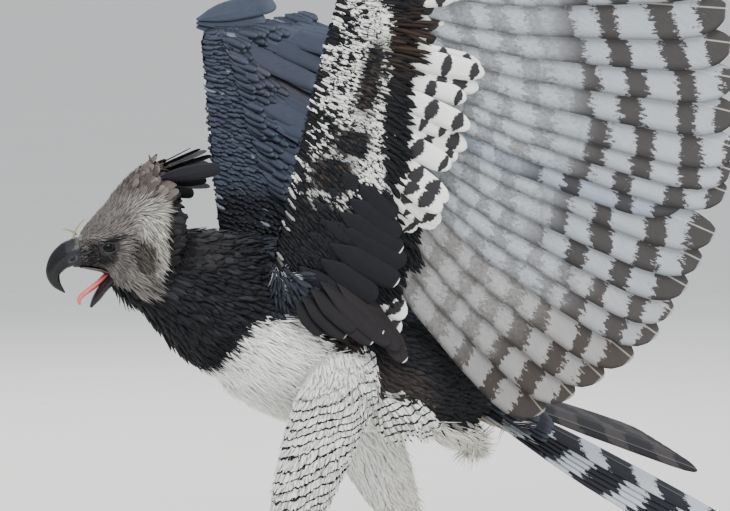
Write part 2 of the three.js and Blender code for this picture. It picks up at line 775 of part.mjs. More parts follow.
// The alula: three stiff feathers on the thumb, at the wrist's leading edge
function alula(wing) {
  const { a, c, n, at, span } = wing.frame;
  const turn = radians(wing.thumb.turn);
  const along = a.clone().multiplyScalar(Math.cos(turn)).addScaledVector(c, Math.sin(turn));
  const across = c.clone().multiplyScalar(-Math.cos(turn)).addScaledVector(a, Math.sin(turn));
  const from = at(span + wing.thumb.along, -wing.thumb.ahead, 4);
  const thumb = ball([0, 0, 0], [19, 8.5, 7.5]);
  const frame = new THREE.Matrix4().makeBasis(along, across, V(0, 0, 0).crossVectors(along, across));
  frame.setPosition(from);
  const vanes = [0, 1, 2].map((k) =>
    vane({
      root: from.clone().addScaledVector(across, -4 * k + 3).addScaledVector(n, 2.6 - 2.6 * k),
      along: along.clone().addScaledVector(across, -0.1 * k).normalize(),
      across,
      out: n,
      length: 122 - 20 * k,
      lead: 9,
      trail: 17,
      tilt: 0.03,
      shape: FLIGHT_SHAPE,
    }),
  );
  return joined([thumb.transform(frame.elements.slice()), ...vanes]);
}

function wingSolids(wing) {
  const { a, c, at, span, elbowAlong, elbowBack } = wing.frame;
  const turn = radians(wing.handTurn / 2);
  const elbow = [a, at(elbowAlong, elbowBack)];
  const wrist = [a.clone().multiplyScalar(Math.cos(turn)).addScaledVector(c, Math.sin(turn)), at(span, 0)];
  const cut = (solid, [way, point], sign, swell) => {
    const edge = point.clone().addScaledVector(way, sign * (GAP / 2 - swell));
    return beyond(solid, way.clone().multiplyScalar(sign), edge);
  };
  const core = {
    upper_arm: (swell) => cut(armBlade(wing, swell), elbow, -1, swell),
    forearm: (swell) => cut(cut(armBlade(wing, swell), elbow, 1, swell), wrist, -1, swell),
    hand: (swell) => cut(handBlade(wing, swell), wrist, 1, swell),
  };
  const feathers = { upper_arm: [], forearm: [], hand: [] };
  for (let i = 0; i < FIRST_PRIMARY + PRIMARIES; i++) feathers[nodeOf(i)].push(flightFeather(wing, i));
  for (const tier of TIERS)
    for (const i of covertPlaces(tier)) feathers[nodeOf(i)].push(covert(wing, tier, i));
  const made = {};
  for (const node of Object.keys(core)) {
    const others = Object.keys(core).filter((other) => other !== node);
    const vanes = lessAll(joined(feathers[node].map(vane)), others.map((other) => core[other](GAP)));
    made[node] = joined([core[node](0), vanes]);
  }
  const nearby = [...feathers.forearm, ...feathers.hand];
  const nearThumb = nearby.map((feather) => vane({ ...feather, room: GAP }));
  made.alula = lessAll(alula(wing), [core.forearm(GAP), core.hand(GAP), ...nearThumb]);
  return made;
}

// Assembly
const mirrored = (solid) => solid.mirror([0, 1, 0]);
const bird = new THREE.Group();
const add = (name, solid, material) => bird.add(meshOf(name, solid, material));

// Cores that feathers of other nodes are cut clear of
const torsoRoom = torsoCore(GAP);
const neckRoom = neckCore(GAP);
const thighRoom = { left: thighCore(LEFT_LEG, GAP), right: thighCore(RIGHT_LEG, GAP) };
const billRoom = bodyAlong({ ...placedOnHead(UPPER_BILL), swell: GAP });
const jawRoom = bodyAlong({ ...placedOnHead(LOWER_BILL), swell: GAP });
const tongueRoom = bodyAlong({ ...placedOnHead(TONGUE), swell: GAP });

const besideTorso = [thighRoom.left, thighRoom.right, tailCore(GAP)];
add("torso", lessAll(joined([torsoCore(), ...vent()]), besideTorso), slate);
add("neck", lessAll(joined([neckCore(), ...hackles()]), [torsoRoom, headCore(GAP)]), slate);

const eyeAt = (sign, radius) => ball([EYE.forward, sign * EYE.side, 0], Array(3).fill(radius), headFrame);
const brows = [1, -1].map((sign) => ball([9, sign * 30, 13], [19, 6.5, 5], headFrame, 8));
const ownFeathers = joined([...crownVanes(), ...ruffVanes(1), ...ruffVanes(-1)]);
const headFeathers = lessAll(ownFeathers, [neckRoom, ...hackles(GAP), ...crestVanes(GAP)]);
const headWhole = joined([headCore(), ...brows, lids(1), lids(-1), headFeathers]);
const sockets = [1, -1].map((sign) => eyeAt(sign, EYE.radius + GAP));
add("head", lessAll(headWhole, [...sockets, billRoom, jawRoom, tongueRoom, crestPad(GAP)]), ash);
add("eye_left", eyeAt(1, EYE.radius), glassy);
add("eye_right", eyeAt(-1, EYE.radius), glassy);
add("crest", joined([crestPad(), joined(crestVanes()).subtract(headCore(GAP))]), slate);
add("bill_upper", upperBill(), horn);
add("bill_lower", bodyAlong(placedOnHead(LOWER_BILL)).subtract(tongueRoom), horn);
add("tongue", bodyAlong(placedOnHead(TONGUE)), flesh);

for (const [name, leg, sign] of [["left", LEFT_LEG, 1], ["right", RIGHT_LEG, -1]]) {
  add(`thigh_${name}`, thighCore(leg).subtract(shank(leg, GAP)), pale);
  add(`tarsus_${name}`, aboveFloor(joined([shank(leg), palm(leg, sign)])), skin);
  for (const digit of TOES) {
    const [part, way, length] = digit;
    const ahead = toeWay(leg, sign, way);
    const start = underFoot(leg).addScaledVector(ahead, PALM_FACE + GAP);
    const end = underFoot(leg).addScaledVector(ahead, PALM_FACE + length);
    const parted = betweenToes(beyond(toe(leg, sign, digit), ahead, start), leg, sign, way);
    const clear = beyond(parted.subtract(shank(leg, GAP)), ahead.clone().negate(), end);
    add(`toe_${part}_${name}`, aboveFloor(clear), skin);
    const nail = beyond(claw(leg, sign, digit), ahead, end.addScaledVector(ahead, GAP));
    add(`claw_${part}_${name}`, nail, horn);
  }
}

add("tail", joined([tailCore(), joined([...tailVanes(), ...tailCoverts()]).subtract(torsoRoom)]), slate);

for (const [name, wing] of [["left", LEFT_WING], ["right", RIGHT_WING]]) {
  const parts = wingSolids(wing);
  const room = [torsoRoom, neckRoom, name === "left" ? thighRoom.left : mirrored(thighRoom.right)];
  for (const [part, solid] of Object.entries(parts)) {
    const clear = lessAll(solid, room);
    const placed = name === "left" ? clear : mirrored(clear);
    add(`wing_${name}_${part}`, placed, part === "upper_arm" ? slate : barred);
  }
}

// The origin is under the middle of the bird, on the floor
const extent = new THREE.Box3().setFromObject(bird);
const centre = extent.getCenter(V(0, 0, 0));
bird.position.set(-centre.x, -centre.y, -extent.min.z);

export default bird;
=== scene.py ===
import math

import bmesh
import bpy
import numpy as np
from mathutils import Matrix, Vector


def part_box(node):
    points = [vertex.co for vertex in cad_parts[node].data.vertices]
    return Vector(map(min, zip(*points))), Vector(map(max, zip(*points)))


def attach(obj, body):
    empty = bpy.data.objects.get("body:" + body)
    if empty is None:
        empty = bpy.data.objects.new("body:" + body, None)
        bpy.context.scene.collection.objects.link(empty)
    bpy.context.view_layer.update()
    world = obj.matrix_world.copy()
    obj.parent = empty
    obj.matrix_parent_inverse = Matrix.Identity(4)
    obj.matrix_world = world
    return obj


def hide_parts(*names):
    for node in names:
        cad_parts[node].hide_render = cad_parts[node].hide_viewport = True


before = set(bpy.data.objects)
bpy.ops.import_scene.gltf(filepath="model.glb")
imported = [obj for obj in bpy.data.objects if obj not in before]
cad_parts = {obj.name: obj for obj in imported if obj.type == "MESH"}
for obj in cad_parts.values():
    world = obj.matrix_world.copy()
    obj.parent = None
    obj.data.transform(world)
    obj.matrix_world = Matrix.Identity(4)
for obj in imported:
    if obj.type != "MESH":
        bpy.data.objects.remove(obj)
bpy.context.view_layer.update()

# Where the eagle stands. Sizes are millimetres in the drawing of the part, which was then shifted on to its
# origin. The left eye is known in both, so it gives the shift. The bird faces -X and its left side is -Y.
MM = 0.001
HEAD = np.array([-323.0, 0.0, 480.0])
HEAD_TURN = math.radians(15)
EYE_SIDE = 26
EYE_RADIUS = 10.5
HEAD_AXES = np.array([
    [-math.cos(HEAD_TURN), math.sin(HEAD_TURN), 0],
    [-math.sin(HEAD_TURN), -math.cos(HEAD_TURN), 0],
    [0, 0, 1],
])


def on_head(points):
    """Points given as forward, left and up from between the eyes."""
    return HEAD + np.asarray(points, float) @ HEAD_AXES


low, high = (np.array(corner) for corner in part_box("eye_left")[:2])
SHIFT = (low + high) / 2 / MM - on_head([0, EYE_SIDE, 0])


def metres(points):
    return (np.asarray(points, float) + SHIFT) * MM


# The camera: a long lens five metres off, a little above the bird's back and ahead of its left side.
VIEW_AZIMUTH = math.radians(-25)
VIEW_ELEVATION = math.radians(4)
VIEW_DISTANCE = 5000
FOCAL_PIXELS = 4300
PICTURE_WIDTH = 730
SENSOR_WIDTH = 36
LOOK_AT = [0, 0, 460]
camera = bpy.data.objects.new("camera", bpy.data.cameras.new("camera"))
bpy.context.scene.collection.objects.link(camera)
camera.data.sensor_width = SENSOR_WIDTH
camera.data.lens = SENSOR_WIDTH * FOCAL_PIXELS / PICTURE_WIDTH
camera.data.clip_start = 0.5
camera.data.clip_end = 1500
backward = Vector((
    math.sin(VIEW_AZIMUTH) * math.cos(VIEW_ELEVATION),
    -math.cos(VIEW_AZIMUTH) * math.cos(VIEW_ELEVATION),
    math.sin(VIEW_ELEVATION),
))
camera.location = Vector(metres(LOOK_AT)) + backward * VIEW_DISTANCE * MM
camera.rotation_euler = backward.to_track_quat("Z", "Y").to_euler()
bpy.context.scene.camera = camera


# The studio: a wide pale floor under soft lamps, the largest above the bird's left shoulder.
# Its finish is matt paint with a faint mottle.
def srgb(red, green, blue):
    """A colour as the eye reads it, 0 to 255, as the light values that a shader takes."""
    parts = np.array([red, green, blue]) / 255
    return np.where(parts < 0.04045, parts / 12.92, ((parts + 0.055) / 1.055) ** 2.4)


class Socket:
    """A shader value. Sums and products with numbers or other sockets add the Math nodes for them."""

    def __init__(self, paint, link):
        self.paint = paint
        self.link = link

    def math(self, operation, *others):
        return self.paint.node("ShaderNodeMath", {"operation": operation}, self, *others)["Value"]

    def __add__(self, other):
        return self.math("ADD", other)

    def __sub__(self, other):
        return self.math("SUBTRACT", other)

    def __mul__(self, other):
        return self.math("MULTIPLY", other)

    def __truediv__(self, other):
        return self.math("DIVIDE", other)

    def __radd__(self, other):
        return self.math("ADD", other)

    def __rmul__(self, other):
        return self.math("MULTIPLY", other)

    def __rsub__(self, other):
        return self.math("MULTIPLY_ADD", -1, other)

    def over(self, low, high):
        """0 below low and 1 above high, with a soft step between."""
        settings = {"interpolation_type": "SMOOTHSTEP"}
        return self.paint.node("ShaderNodeMapRange", settings, self, low, high)["Result"]


class Paint:
    """One material and the nodes of it."""

    def __init__(self, name, **shader):
        self.material = bpy.data.materials.new(name)
        self.material.use_nodes = True
        self.tree = self.material.node_tree
        self.shader = self.tree.nodes["Principled BSDF"]
        self.set(**shader)

    def node(self, kind, settings, *values):
        """Adds a node. Its settings come first, then values or sockets for its inputs in their order."""
        made = self.tree.nodes.new(kind)
        for setting, value in settings.items():
            if setting == "stops":
                self.ramp(made.color_ramp, value)
            else:
                setattr(made, setting, value)
        inputs = [entry for entry in made.inputs if entry.enabled]
        for entry, value in zip(inputs, values):
            self.feed(entry, value)
        return {entry.name: Socket(self, entry) for entry in made.outputs if entry.enabled}

    def ramp(self, ramp, stops):
        while len(ramp.elements) < len(stops):
            ramp.elements.new(1)
        for element, (place, value) in zip(ramp.elements, stops):
            element.position = place
            element.color = (*(value if np.ndim(value) else [value] * 3), 1)

    def feed(self, entry, value):
        if isinstance(value, Socket):
            self.tree.links.new(value.link, entry)
        elif value is not None:
            entry.default_value = (*value, 1) if entry.type == "RGBA" else value

    def set(self, **shader):
        """Values or sockets for the shader, such as base_color=... or roughness=..."""
        for entry, value in shader.items():
            self.feed(self.shader.inputs[entry.replace("_", " ").title().replace("Ior", "IOR")], value)

    def mix(self, share, first, second):
        """The first colour where share is 0, the second where it is 1."""
        return self.node("ShaderNodeMixRGB", {}, share, first, second)["Color"]

    def shaded(self, colour, by):
        """The colour made brighter or darker."""
        return self.node("ShaderNodeVectorMath", {"operation": "SCALE"}, colour, by)["Vector"]

    def attribute(self, name):
        return self.node("ShaderNodeAttribute", {"attribute_name": name})

    def tint(self):
        """The colour that the mesh itself carries."""
        return self.attribute("tint")["Color"]

    def noise(self, scale, place=None, detail=2.0, roughness=0.5):
        place = place or self.place()
        return self.node("ShaderNodeTexNoise", {}, place, scale, detail, roughness)["Fac"]

    def place(self, stretch=(1, 1, 1)):
        where = self.node("ShaderNodeTexCoord", {})["Object"]
        return self.node("ShaderNodeVectorMath", {"operation": "MULTIPLY"}, where, stretch)["Vector"]

    def bump(self, height, strength, depth):
        return self.node("ShaderNodeBump", {}, strength, depth, None, height)["Normal"]


def piece(mesh, paint, slot, *nodes):
    """Puts a mesh in the scene as a piece of the bird, by its own name, standing for nodes of the part."""
    made = bpy.data.objects.new(mesh.name, mesh)
    bpy.context.scene.collection.objects.link(made)
    mesh.materials.append(paint.material)
    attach(made, "root")
    if nodes:
        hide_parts(*nodes)
    return made


def mesh_of(name, bm):
    mesh = bpy.data.meshes.new(name)
    bmesh.ops.recalc_face_normals(bm, faces=bm.faces)
    for face in bm.faces:
        face.smooth = True
    bm.to_mesh(mesh)
    bm.free()
    return mesh


FLOOR_RADIUS = 500
studio = Paint("floor_paint", roughness=0.85)
mottle = studio.noise(1.3)
studio.set(base_color=studio.mix(mottle, srgb(226, 224, 219), srgb(232, 231, 227)))
bm = bmesh.new()
bmesh.ops.create_circle(bm, cap_ends=True, segments=96, radius=FLOOR_RADIUS)
floor = bpy.data.objects.new("floor", mesh_of("floor", bm))
bpy.context.scene.collection.objects.link(floor)
floor.data.materials.append(studio.material)

world = bpy.context.scene.world or bpy.data.worlds.new("studio")
bpy.context.scene.world = world
world.use_nodes = True
world.node_tree.nodes["Background"].inputs["Color"].default_value = (0.86, 0.9, 0.95, 1)
world.node_tree.nodes["Background"].inputs["Strength"].default_value = 0.95

AIM = Vector((0, 0, 0.5))
LAMPS = {
    # place in metres, size, watts
    "key": ((-1.6, -2.6, 3.6), 2.0, 215),
    "fill": ((2.6, -3.2, 1.6), 2.5, 55),
    "rim": ((0.6, 2.8, 2.8), 2.0, 90),
}
for name, (place, size, watts) in LAMPS.items():
    lamp = bpy.data.objects.new(name, bpy.data.lights.new(name, "AREA"))
    bpy.context.scene.collection.objects.link(lamp)
    lamp.data.size = size
    lamp.data.energy = watts
    lamp.location = place
    lamp.rotation_euler = (Vector(place) - AIM).to_track_quat("Z", "Y").to_euler()


# The lie of the bird: the middle lines of its body and limbs with their half-widths and half-heights. Both
# the skin and the direction of every feather come from them. The skin lies under them by the coat's depth.
TORSO = {
    "path": [[-205, 0, 424], [-140, 0, 398], [-60, 0, 364], [30, 0, 332], [110, 0, 306], [172, 0, 286]],
    "sizes": [[54, 62], [84, 98], [94, 106], [84, 86], [56, 56], [24, 24]],
}
NECK = {
    "path": [[-292, 0, 462], [-262, 0, 452], [-228, 0, 437], [-196, 0, 421], [-160, 0, 406]],
    "sizes": [[40, 44], [46, 54], [56, 68], [66, 80], [76, 88]],
}
VENT = {
    "path": [[66, 0, 306], [104, 0, 268], [138, 0, 236]],
    "sizes": [[52, 46], [44, 36], [24, 18]],
}
HEAD_PROFILE = [
    # forward, lowest, highest, half-width
    [35, -23, 11, 12],
    [33, -24, 13, 14],
    [26, -24, 24, 19],
    [12, -25, 39, 27],
    [1, -30, 50, 32],
    [-9, -46, 62, 38],
    [-24, -60, 78, 47],
    [-40, -60, 90, 54],
    [-56, -50, 86, 56],
    [-68, -30, 66, 46],
    [-76, -12, 46, 30],
]
LEGS = {
    "left": {"knee": [-66, -72, 322], "ankle": [-140, -86, 142], "foot": [-162, -88, 26], "turn": 4},
    "right": {"knee": [-8, 62, 312], "ankle": [84, 68, 138], "foot": [52, 74, 26], "turn": -6},
}
TOES = {
    # way in degrees from straight ahead (to the inside positive), length, claw
    "inner": (32, 60, 50),
    "middle": (2, 84, 38),
    "outer": (-36, 66, 34),
    "hind": (172, 46, 58),
}
PALM = 17  # from the middle of the foot to where a toe starts
COAT = {"torso": 9, "neck": 7, "head": 3, "thigh": 8, "arm": 4}


def unit(ways):
    ways = np.asarray(ways, float)
    return ways / np.maximum(np.linalg.norm(ways, axis=-1, keepdims=True), 1e-9)


def spline(points, u):
    """A smooth line through the points, at shares u from 0 to 1."""
    p = np.array(points, float)
    p = np.vstack([2 * p[0] - p[1], p, 2 * p[-1] - p[-2]])
    t = np.clip(u, 0, 1) * (len(points) - 1)
    i = np.minimum(t.astype(int), len(points) - 2)
    f = (t - i)[..., None]
    a, b, c, d = p[i], p[i + 1], p[i + 2], p[i + 3]
    return b + 0.5 * f * (c - a + f * (2 * a - 5 * b + 4 * c - d + f * (3 * (b - c) + d - a)))


def ring(bm, at, across, up, half_width, half_height, sides, narrow=0.0):
    """One round cross section, its upper half narrowed towards the top."""
    made = bmesh.ops.create_circle(bm, segments=sides, radius=1)["verts"]
    edges = {edge for corner in made for edge in corner.link_edges}
    for corner in made:
        x, y = corner.co.x, corner.co.y
        slim = 1 - narrow * max(0.0, y) ** 2
        corner.co = Vector(at + across * (half_width * slim * x) + up * (half_height * y))
    return edges


def bridged(bm, rings):
    """Joins rings into one closed body."""
    for first, second in zip(rings, rings[1:]):
        bmesh.ops.bridge_loops(bm, edges=list(first | second))
    for end in (rings[0], rings[-1]):
        bmesh.ops.holes_fill(bm, edges=list(end), sides=0)


def tube(bm, path, sizes, side=(0, 1, 0), rings=16, sides=24, inset=0.0, narrow=0.0):
    """A round body along a smooth path, in metres. inset makes it slimmer all round."""
    share = np.linspace(0, 1, rings)
    middle = metres(spline(path, share))
    way = unit(np.gradient(middle, axis=0))
    girth = np.maximum(spline(sizes, share) - inset, 0.25) * MM
    last = np.array([0, 0, 1.0])
    made = []
    for i in range(rings):
        across = unit(np.array(side) - way[i] * (way[i] @ np.array(side)))
        up = np.cross(across, way[i])
        up = up if up @ last >= 0 else -up
        last = up
        made.append(ring(bm, middle[i], across, up, *girth[i], sides, narrow))
    bridged(bm, made)


def lerp(a, b, share):
    return (np.array(a) + (np.array(b) - np.array(a)) * share).tolist()


def thigh_line(leg):
    hip = lerp(leg["knee"], leg["ankle"], -0.22)
    hip[1] = leg["knee"][1] * 0.7
    down = [lerp(leg["knee"], leg["ankle"], share) for share in (0, 0.3, 0.65, 0.95, 1.14)]
    return {
        "path": [hip] + down,
        "sizes": [[34, 44], [44, 52], [42, 47], [35, 40], [22, 26], [13, 14]],
    }


def shank_line(leg):
    heel = lerp(leg["ankle"], leg["knee"], 0.1)
    middle = lerp(leg["ankle"], leg["foot"], 0.5)
    sole = [leg["foot"][0] - 2, leg["foot"][1], PALM_HEIGHT]
    return {
        "path": [heel, leg["ankle"], middle, leg["foot"], sole],
        "sizes": [[11, 12], [12.5, 14], [9.5, 11], [12, 14], [15, 16]],
    }


def toe_way(side, way):
    turn = math.radians(way * (1 if side == "left" else -1) + LEGS[side]["turn"])
    return np.array([-math.cos(turn), -math.sin(turn), 0])


# The wings' own directions. Both are laid out as left wings: a runs from shoulder to wrist, c back across
# the wing and n out of its upper face. A place on a wing is s along a from the shoulder and b back along c.
# The right wing is mirrored as its pieces are made.
SHOULDER = np.array([-129.0, -75, 455])
HUMERUS, ULNA, HAND = 172, 200, 150
WING_TURN = math.radians(12)
TERTIALS, SECONDARIES, PRIMARIES = 4, 13, 10
FLIGHT = TERTIALS + SECONDARIES + PRIMARIES
SAG = 0.0002  # how far a wing curves down behind its bones, per square millimetre
KNUCKLE = 40  # the stretch round the wrist over which the arm's lie turns into the hand's
ALONG_HAND = [0, 95, HAND]  # where the hand's thickness and edge are given


class Wing:
    """One wing's bones, and places on its two faces. thumb is how far past the wrist it starts, how far ahead
    of the line, and its turn back in degrees. fan lists turns inward in degrees by the number of the flight
    feather, reach lists lengths by it, and short is the number of a feather that is still growing."""

    def __init__(self, name, wrist, hand_turn, thumb, fan, reach, short):
        self.name = name
        self.side = -1 if name == "right" else 1
        self.turn = math.radians(hand_turn)
        self.thumb, self.fan, self.reach, self.short = thumb, fan, reach, short
        line = np.array(wrist) - SHOULDER
        self.span = np.linalg.norm(line)
        self.a = line / self.span
        back = np.array([math.cos(WING_TURN), -math.sin(WING_TURN), 0])
        self.c = unit(back - self.a * (back @ self.a))
        self.n = np.cross(self.a, self.c)
        self.elbow = (HUMERUS ** 2 - ULNA ** 2 + self.span ** 2) / (2 * self.span)
        self.elbow_back = math.sqrt(HUMERUS ** 2 - self.elbow ** 2)
        humeral = self.elbow - 7 - 12 * np.arange(TERTIALS - 1, -1, -1)
        ulnar = self.elbow + (self.span - self.elbow) * (np.arange(SECONDARIES) + 0.5) / SECONDARIES
        manual = self.span + KNUCKLE + 12 + (HAND - 18) * np.arange(PRIMARIES) / (PRIMARIES - 1)
        self.roots = np.concatenate([humeral, ulnar, manual])

    def flip(self, vectors):
        return np.asarray(vectors) * np.array([1, self.side, 1])

    def bone(self, s):
        """How far behind the line from shoulder to wrist the bone lies."""
        return np.interp(s, [0, self.elbow, self.span], [0, self.elbow_back, 0])

    def hand(self, s):
        return np.clip((s - self.span) / KNUCKLE, 0, 1)

    def turned(self, s):
        """The way out along the limb, and the way back across it."""
        angle = (self.hand(s) * self.turn)[..., None]
        out = self.a * np.cos(angle) + self.c * np.sin(angle)
        back = self.c * np.cos(angle) - self.a * np.sin(angle)
        return out, back

    def reached(self, s):
        """How far out s lies: as a share of the arm, and in millimetres along the hand."""
        return np.clip((s + 34) / (self.span + 46), 0, 1), np.clip(s - self.span - KNUCKLE, 0, HAND)

    def front(self, s):
        """How far ahead of the line the leading edge lies."""
        share, past = self.reached(s)
        hand_edge = np.interp(past, ALONG_HAND, [-20, -14, -6])
        return np.where(s < self.span, -21 - 5 * np.sin(np.pi * share), hand_edge)

    def depth(self, s, b):
        """Half the thickness of the limb at b behind the line."""
        share, past = self.reached(s)
        hand_depth = np.interp(past, ALONG_HAND, [14, 9.5, 4.5])
        thick = np.where(s < self.span + KNUCKLE, 24 - 10 * share, hand_depth)
        front, bone = self.front(s), self.bone(s)
        ahead = np.clip((b - front) / (bone - front), 0, 1)
        behind = np.clip((b - bone - 10) / 80, 0, 1)
        return thick * np.sin(ahead * np.pi / 2) ** 0.8 * (0.56 + 0.44 * np.cos(np.pi * behind))

    def at(self, s, b, lift=0.0):
        s, b = np.broadcast_arrays(np.asarray(s, float), np.asarray(b, float))
        out, back = self.turned(s)
        base = SHOULDER + self.a * np.minimum(s, self.span)[..., None]
        past = np.maximum(s - self.span - KNUCKLE, 0)[..., None]
        flat = base + out * past + back * b[..., None]
        return flat + self.n * (lift - self.sag(flat))[..., None]

    def sag(self, flat):
        return SAG * np.maximum(0, (flat - SHOULDER) @ self.c) ** 2

    def sag_from(self, root, sign=1):
        """How much lower than its root each point of a feather lies. sign is -1 on the under face."""
        at_root = self.sag(root)[:, None, None]
        return lambda flat: sign * (self.sag(self.flip(flat)) - at_root)

    def feather_way(self, i):
        """The direction of flight feather i in the wing's plane, and the way across it towards the tip."""
        inward = np.radians(np.interp(i, *np.array(self.fan).T))[..., None]
        along = self.c * np.cos(inward) - self.a * np.sin(inward)
        return along, self.a * np.cos(inward) + self.c * np.sin(inward)


WINGS = [
    Wing(
        "left", wrist=[-102, -196, 774], hand_turn=20, thumb=(8, 30, 1), short=9,
        fan=[[0, 41], [4, 25], [8, 12.5], [12, 5.7], [16, -8], [17, -12], [26, -65]],
        reach=[[0, 370], [4, 406], [8, 434], [12, 447], [16, 418], [17, 410], [22, 468], [26, 372]],
    ),
    Wing(
        "right", wrist=[-113, -180, 706], hand_turn=78, thumb=(19, 26, 74), short=None,
        fan=[[0, 44], [4, 34], [8, 29], [12, 26], [16, 24], [17, 19], [26, 11]],
        reach=[[0, 340], [4, 380], [8, 405], [12, 415], [16, 400], [17, 400], [22, 462], [26, 380]],
    ),
]

# The tail's own directions: back along it, across to the bird's right, and out of its upper face.
TAIL_ROOT = np.array([150.0, 0, 296])
TAIL_SLOPE = math.radians(27)
TAIL_ROLL = math.radians(34)
TAIL_LENGTH = 395
TAIL_BACK = np.array([math.cos(TAIL_SLOPE), 0, -math.sin(TAIL_SLOPE)])
level_out = np.array([math.sin(TAIL_SLOPE), 0, math.cos(TAIL_SLOPE)])
TAIL_OUT = level_out * math.cos(TAIL_ROLL) + np.cross(TAIL_BACK, level_out) * math.sin(TAIL_ROLL)
TAIL_ACROSS = np.cross(TAIL_OUT, TAIL_BACK)


def on_tail(back, across, up):
    back, across, up = (np.asarray(value, float)[..., None] for value in (back, across, up))
    return TAIL_ROOT + TAIL_BACK * back + TAIL_ACROSS * across + TAIL_OUT * up


# The skin: one closed body from brow to toes, under all the plumage. It is bare and yellow below the thighs,
# with broad scutes down the front of the shank and over the toes, and dark between the eye and the bill.
SKIN_GRAIN = 0.0032  # the mesh size to which the parts are fused
SHANK_TOP = 185  # height of the feathers' lower edge on the legs
ALL_BARE = 60  # nothing grows below this height
PALM_HEIGHT = 13
TOE_PATH = [
    # share of the toe's length, height
    [-0.2, 12], [0.1, 12.5], [0.28, 11], [0.45, 12], [0.6, 10], [0.78, 10.6], [0.9, 10], [1.02, 10.5],
]
TOE_SIZES = [[10, 11], [10.6, 11.6], [9.4, 10.4], [10.2, 11.2], [8.6, 9.4], [9, 9.8], [7.6, 8.4], [6.2, 6.8]]
UP = np.array([0, 0, 1])
bm = bmesh.new()
for line, coat in ((TORSO, COAT["torso"]), (NECK, COAT["neck"]), (VENT, COAT["torso"])):
    tube(bm, **line, inset=coat, sides=32)

rings = []
for forward, low, high, width in HEAD_PROFILE:
    half = (high - low) / 2 - COAT["head"]
    middle = metres(on_head([forward, 0, (high + low) / 2]))
    girth = (width - COAT["head"]) * MM
    rings.append(ring(bm, middle, HEAD_AXES[1], HEAD_AXES[2], girth, half * MM, 32, 0.5))
bridged(bm, rings)
for side in (1, -1):
    brow = Matrix((HEAD_AXES.T * [0.02, 0.0065, 0.0045]).tolist()).to_4x4()
    brow.translation = Vector(metres(on_head([8, side * 30, 11.5])))
    bmesh.ops.create_uvsphere(bm, u_segments=20, v_segments=14, radius=1, matrix=brow)
    socket = Matrix.Translation(metres(on_head([0, side * EYE_SIDE, 0])))
    bmesh.ops.create_uvsphere(bm, u_segments=24, v_segments=16, radius=(EYE_RADIUS - 0.4) * MM, matrix=socket)

for side, leg in LEGS.items():
    tube(bm, **thigh_line(leg), inset=COAT["thigh"])
    tube(bm, **shank_line(leg))
    foot = np.array(leg["foot"])
    middle = Matrix.Translation(metres([foot[0], foot[1], PALM_HEIGHT]))
    palm = middle @ Matrix.Diagonal((0.022, 0.022, 0.0125, 1))
    bmesh.ops.create_uvsphere(bm, u_segments=16, v_segments=10, radius=1, matrix=palm)
    for way, length, _ in TOES.values():
        ahead = toe_way(side, way)
        start = foot * [1, 1, 0] + ahead * PALM
        path = [start + ahead * share * length + UP * z for share, z in TOE_PATH]
        tube(bm, path, TOE_SIZES, side=np.cross(UP, ahead), rings=22, sides=16)

tube(
    bm,
    [on_tail(back, 0, -6) for back in (-20, 12, 44)],
    [[26, 17], [29, 16], [26, 12]],
    side=TAIL_ACROSS,
)

for wing in WINGS:
    rings = []
    for s in np.linspace(-30, wing.span + KNUCKLE + HAND, 26):
        front, bone = wing.front(s) + 4, wing.bone(s)
        rear = bone + (34 if s < wing.span else 20)
        made = bmesh.ops.create_circle(bm, segments=28, radius=1)["verts"]
        rings.append({edge for corner in made for edge in corner.link_edges})
        for corner in made:
            x, y = corner.co.x, corner.co.y
            b = (front + rear) / 2 + (rear - front) / 2 * x
            thick = max(1.0, float(wing.depth(s, b)) - COAT["arm"]) * min(1, 1.6 * abs(y))
            corner.co = Vector(metres(wing.flip(wing.at(s, b, thick * np.sign(y) + 1.6 * y))))
    bridged(bm, rings)

draft = bpy.data.objects.new("skin_draft", mesh_of("skin_draft", bm))
bpy.context.scene.collection.objects.link(draft)
fuse = draft.modifiers.new("fuse", "REMESH")
fuse.mode = "VOXEL"
fuse.voxel_size = SKIN_GRAIN
even = draft.modifiers.new("even", "SMOOTH")
even.factor = 0.6
even.iterations = 6
bpy.context.view_layer.update()
skin_mesh = bpy.data.meshes.new_from_object(draft.evaluated_get(bpy.context.evaluated_depsgraph_get()))
skin_mesh.name = "skin"
bpy.data.objects.remove(draft)


# Where a point of the skin lies: the nearest stretch of the body, and the way that its feathers point.
HEAD_LINE = {
    "path": [on_head([forward, 0, (low + high) / 2]) for forward, low, high, _ in HEAD_PROFILE],
    "sizes": [[width, (high - low) / 2] for _, low, high, width in HEAD_PROFILE],
}
STRETCHES = {
    "head": HEAD_LINE,
    "neck": NECK,
    "torso": TORSO,
    "vent": VENT,
    "thigh_left": thigh_line(LEGS["left"]),
    "thigh_right": thigh_line(LEGS["right"]),
    "shank_left": shank_line(LEGS["left"]),
    "shank_right": shank_line(LEGS["right"]),
}
for wing in WINGS:
    out = wing.a * wing.span
    STRETCHES["arm_" + wing.name] = {
        "path": [wing.flip(SHOULDER + wing.c * 10 + out * share) for share in (0.1, 0.4, 0.7, 1)],
        "sizes": [[34, 34], [44, 44], [40, 40], [26, 26]],
    }


LINE_STEPS = 33
LIE_CHANGE = 9  # how quickly the lie of one stretch gives way to the next, by radii
ARM_WEIGHT = 0.3  # the arms turn the feathers of the body round them only a little


def nearest(stretch, points):
    """How many of its own radii a stretch is away from each point, and the way that it runs there."""
    share = np.linspace(0, 1, LINE_STEPS)
    line = spline(stretch["path"], share)
    girth = spline(stretch["sizes"], share).mean(1)
    way = unit(np.gradient(line, axis=0))
    apart = np.linalg.norm(points[:, None] - line[None], axis=2) / girth
    closest = apart.argmin(1)
    return apart[np.arange(len(points)), closest], way[closest]


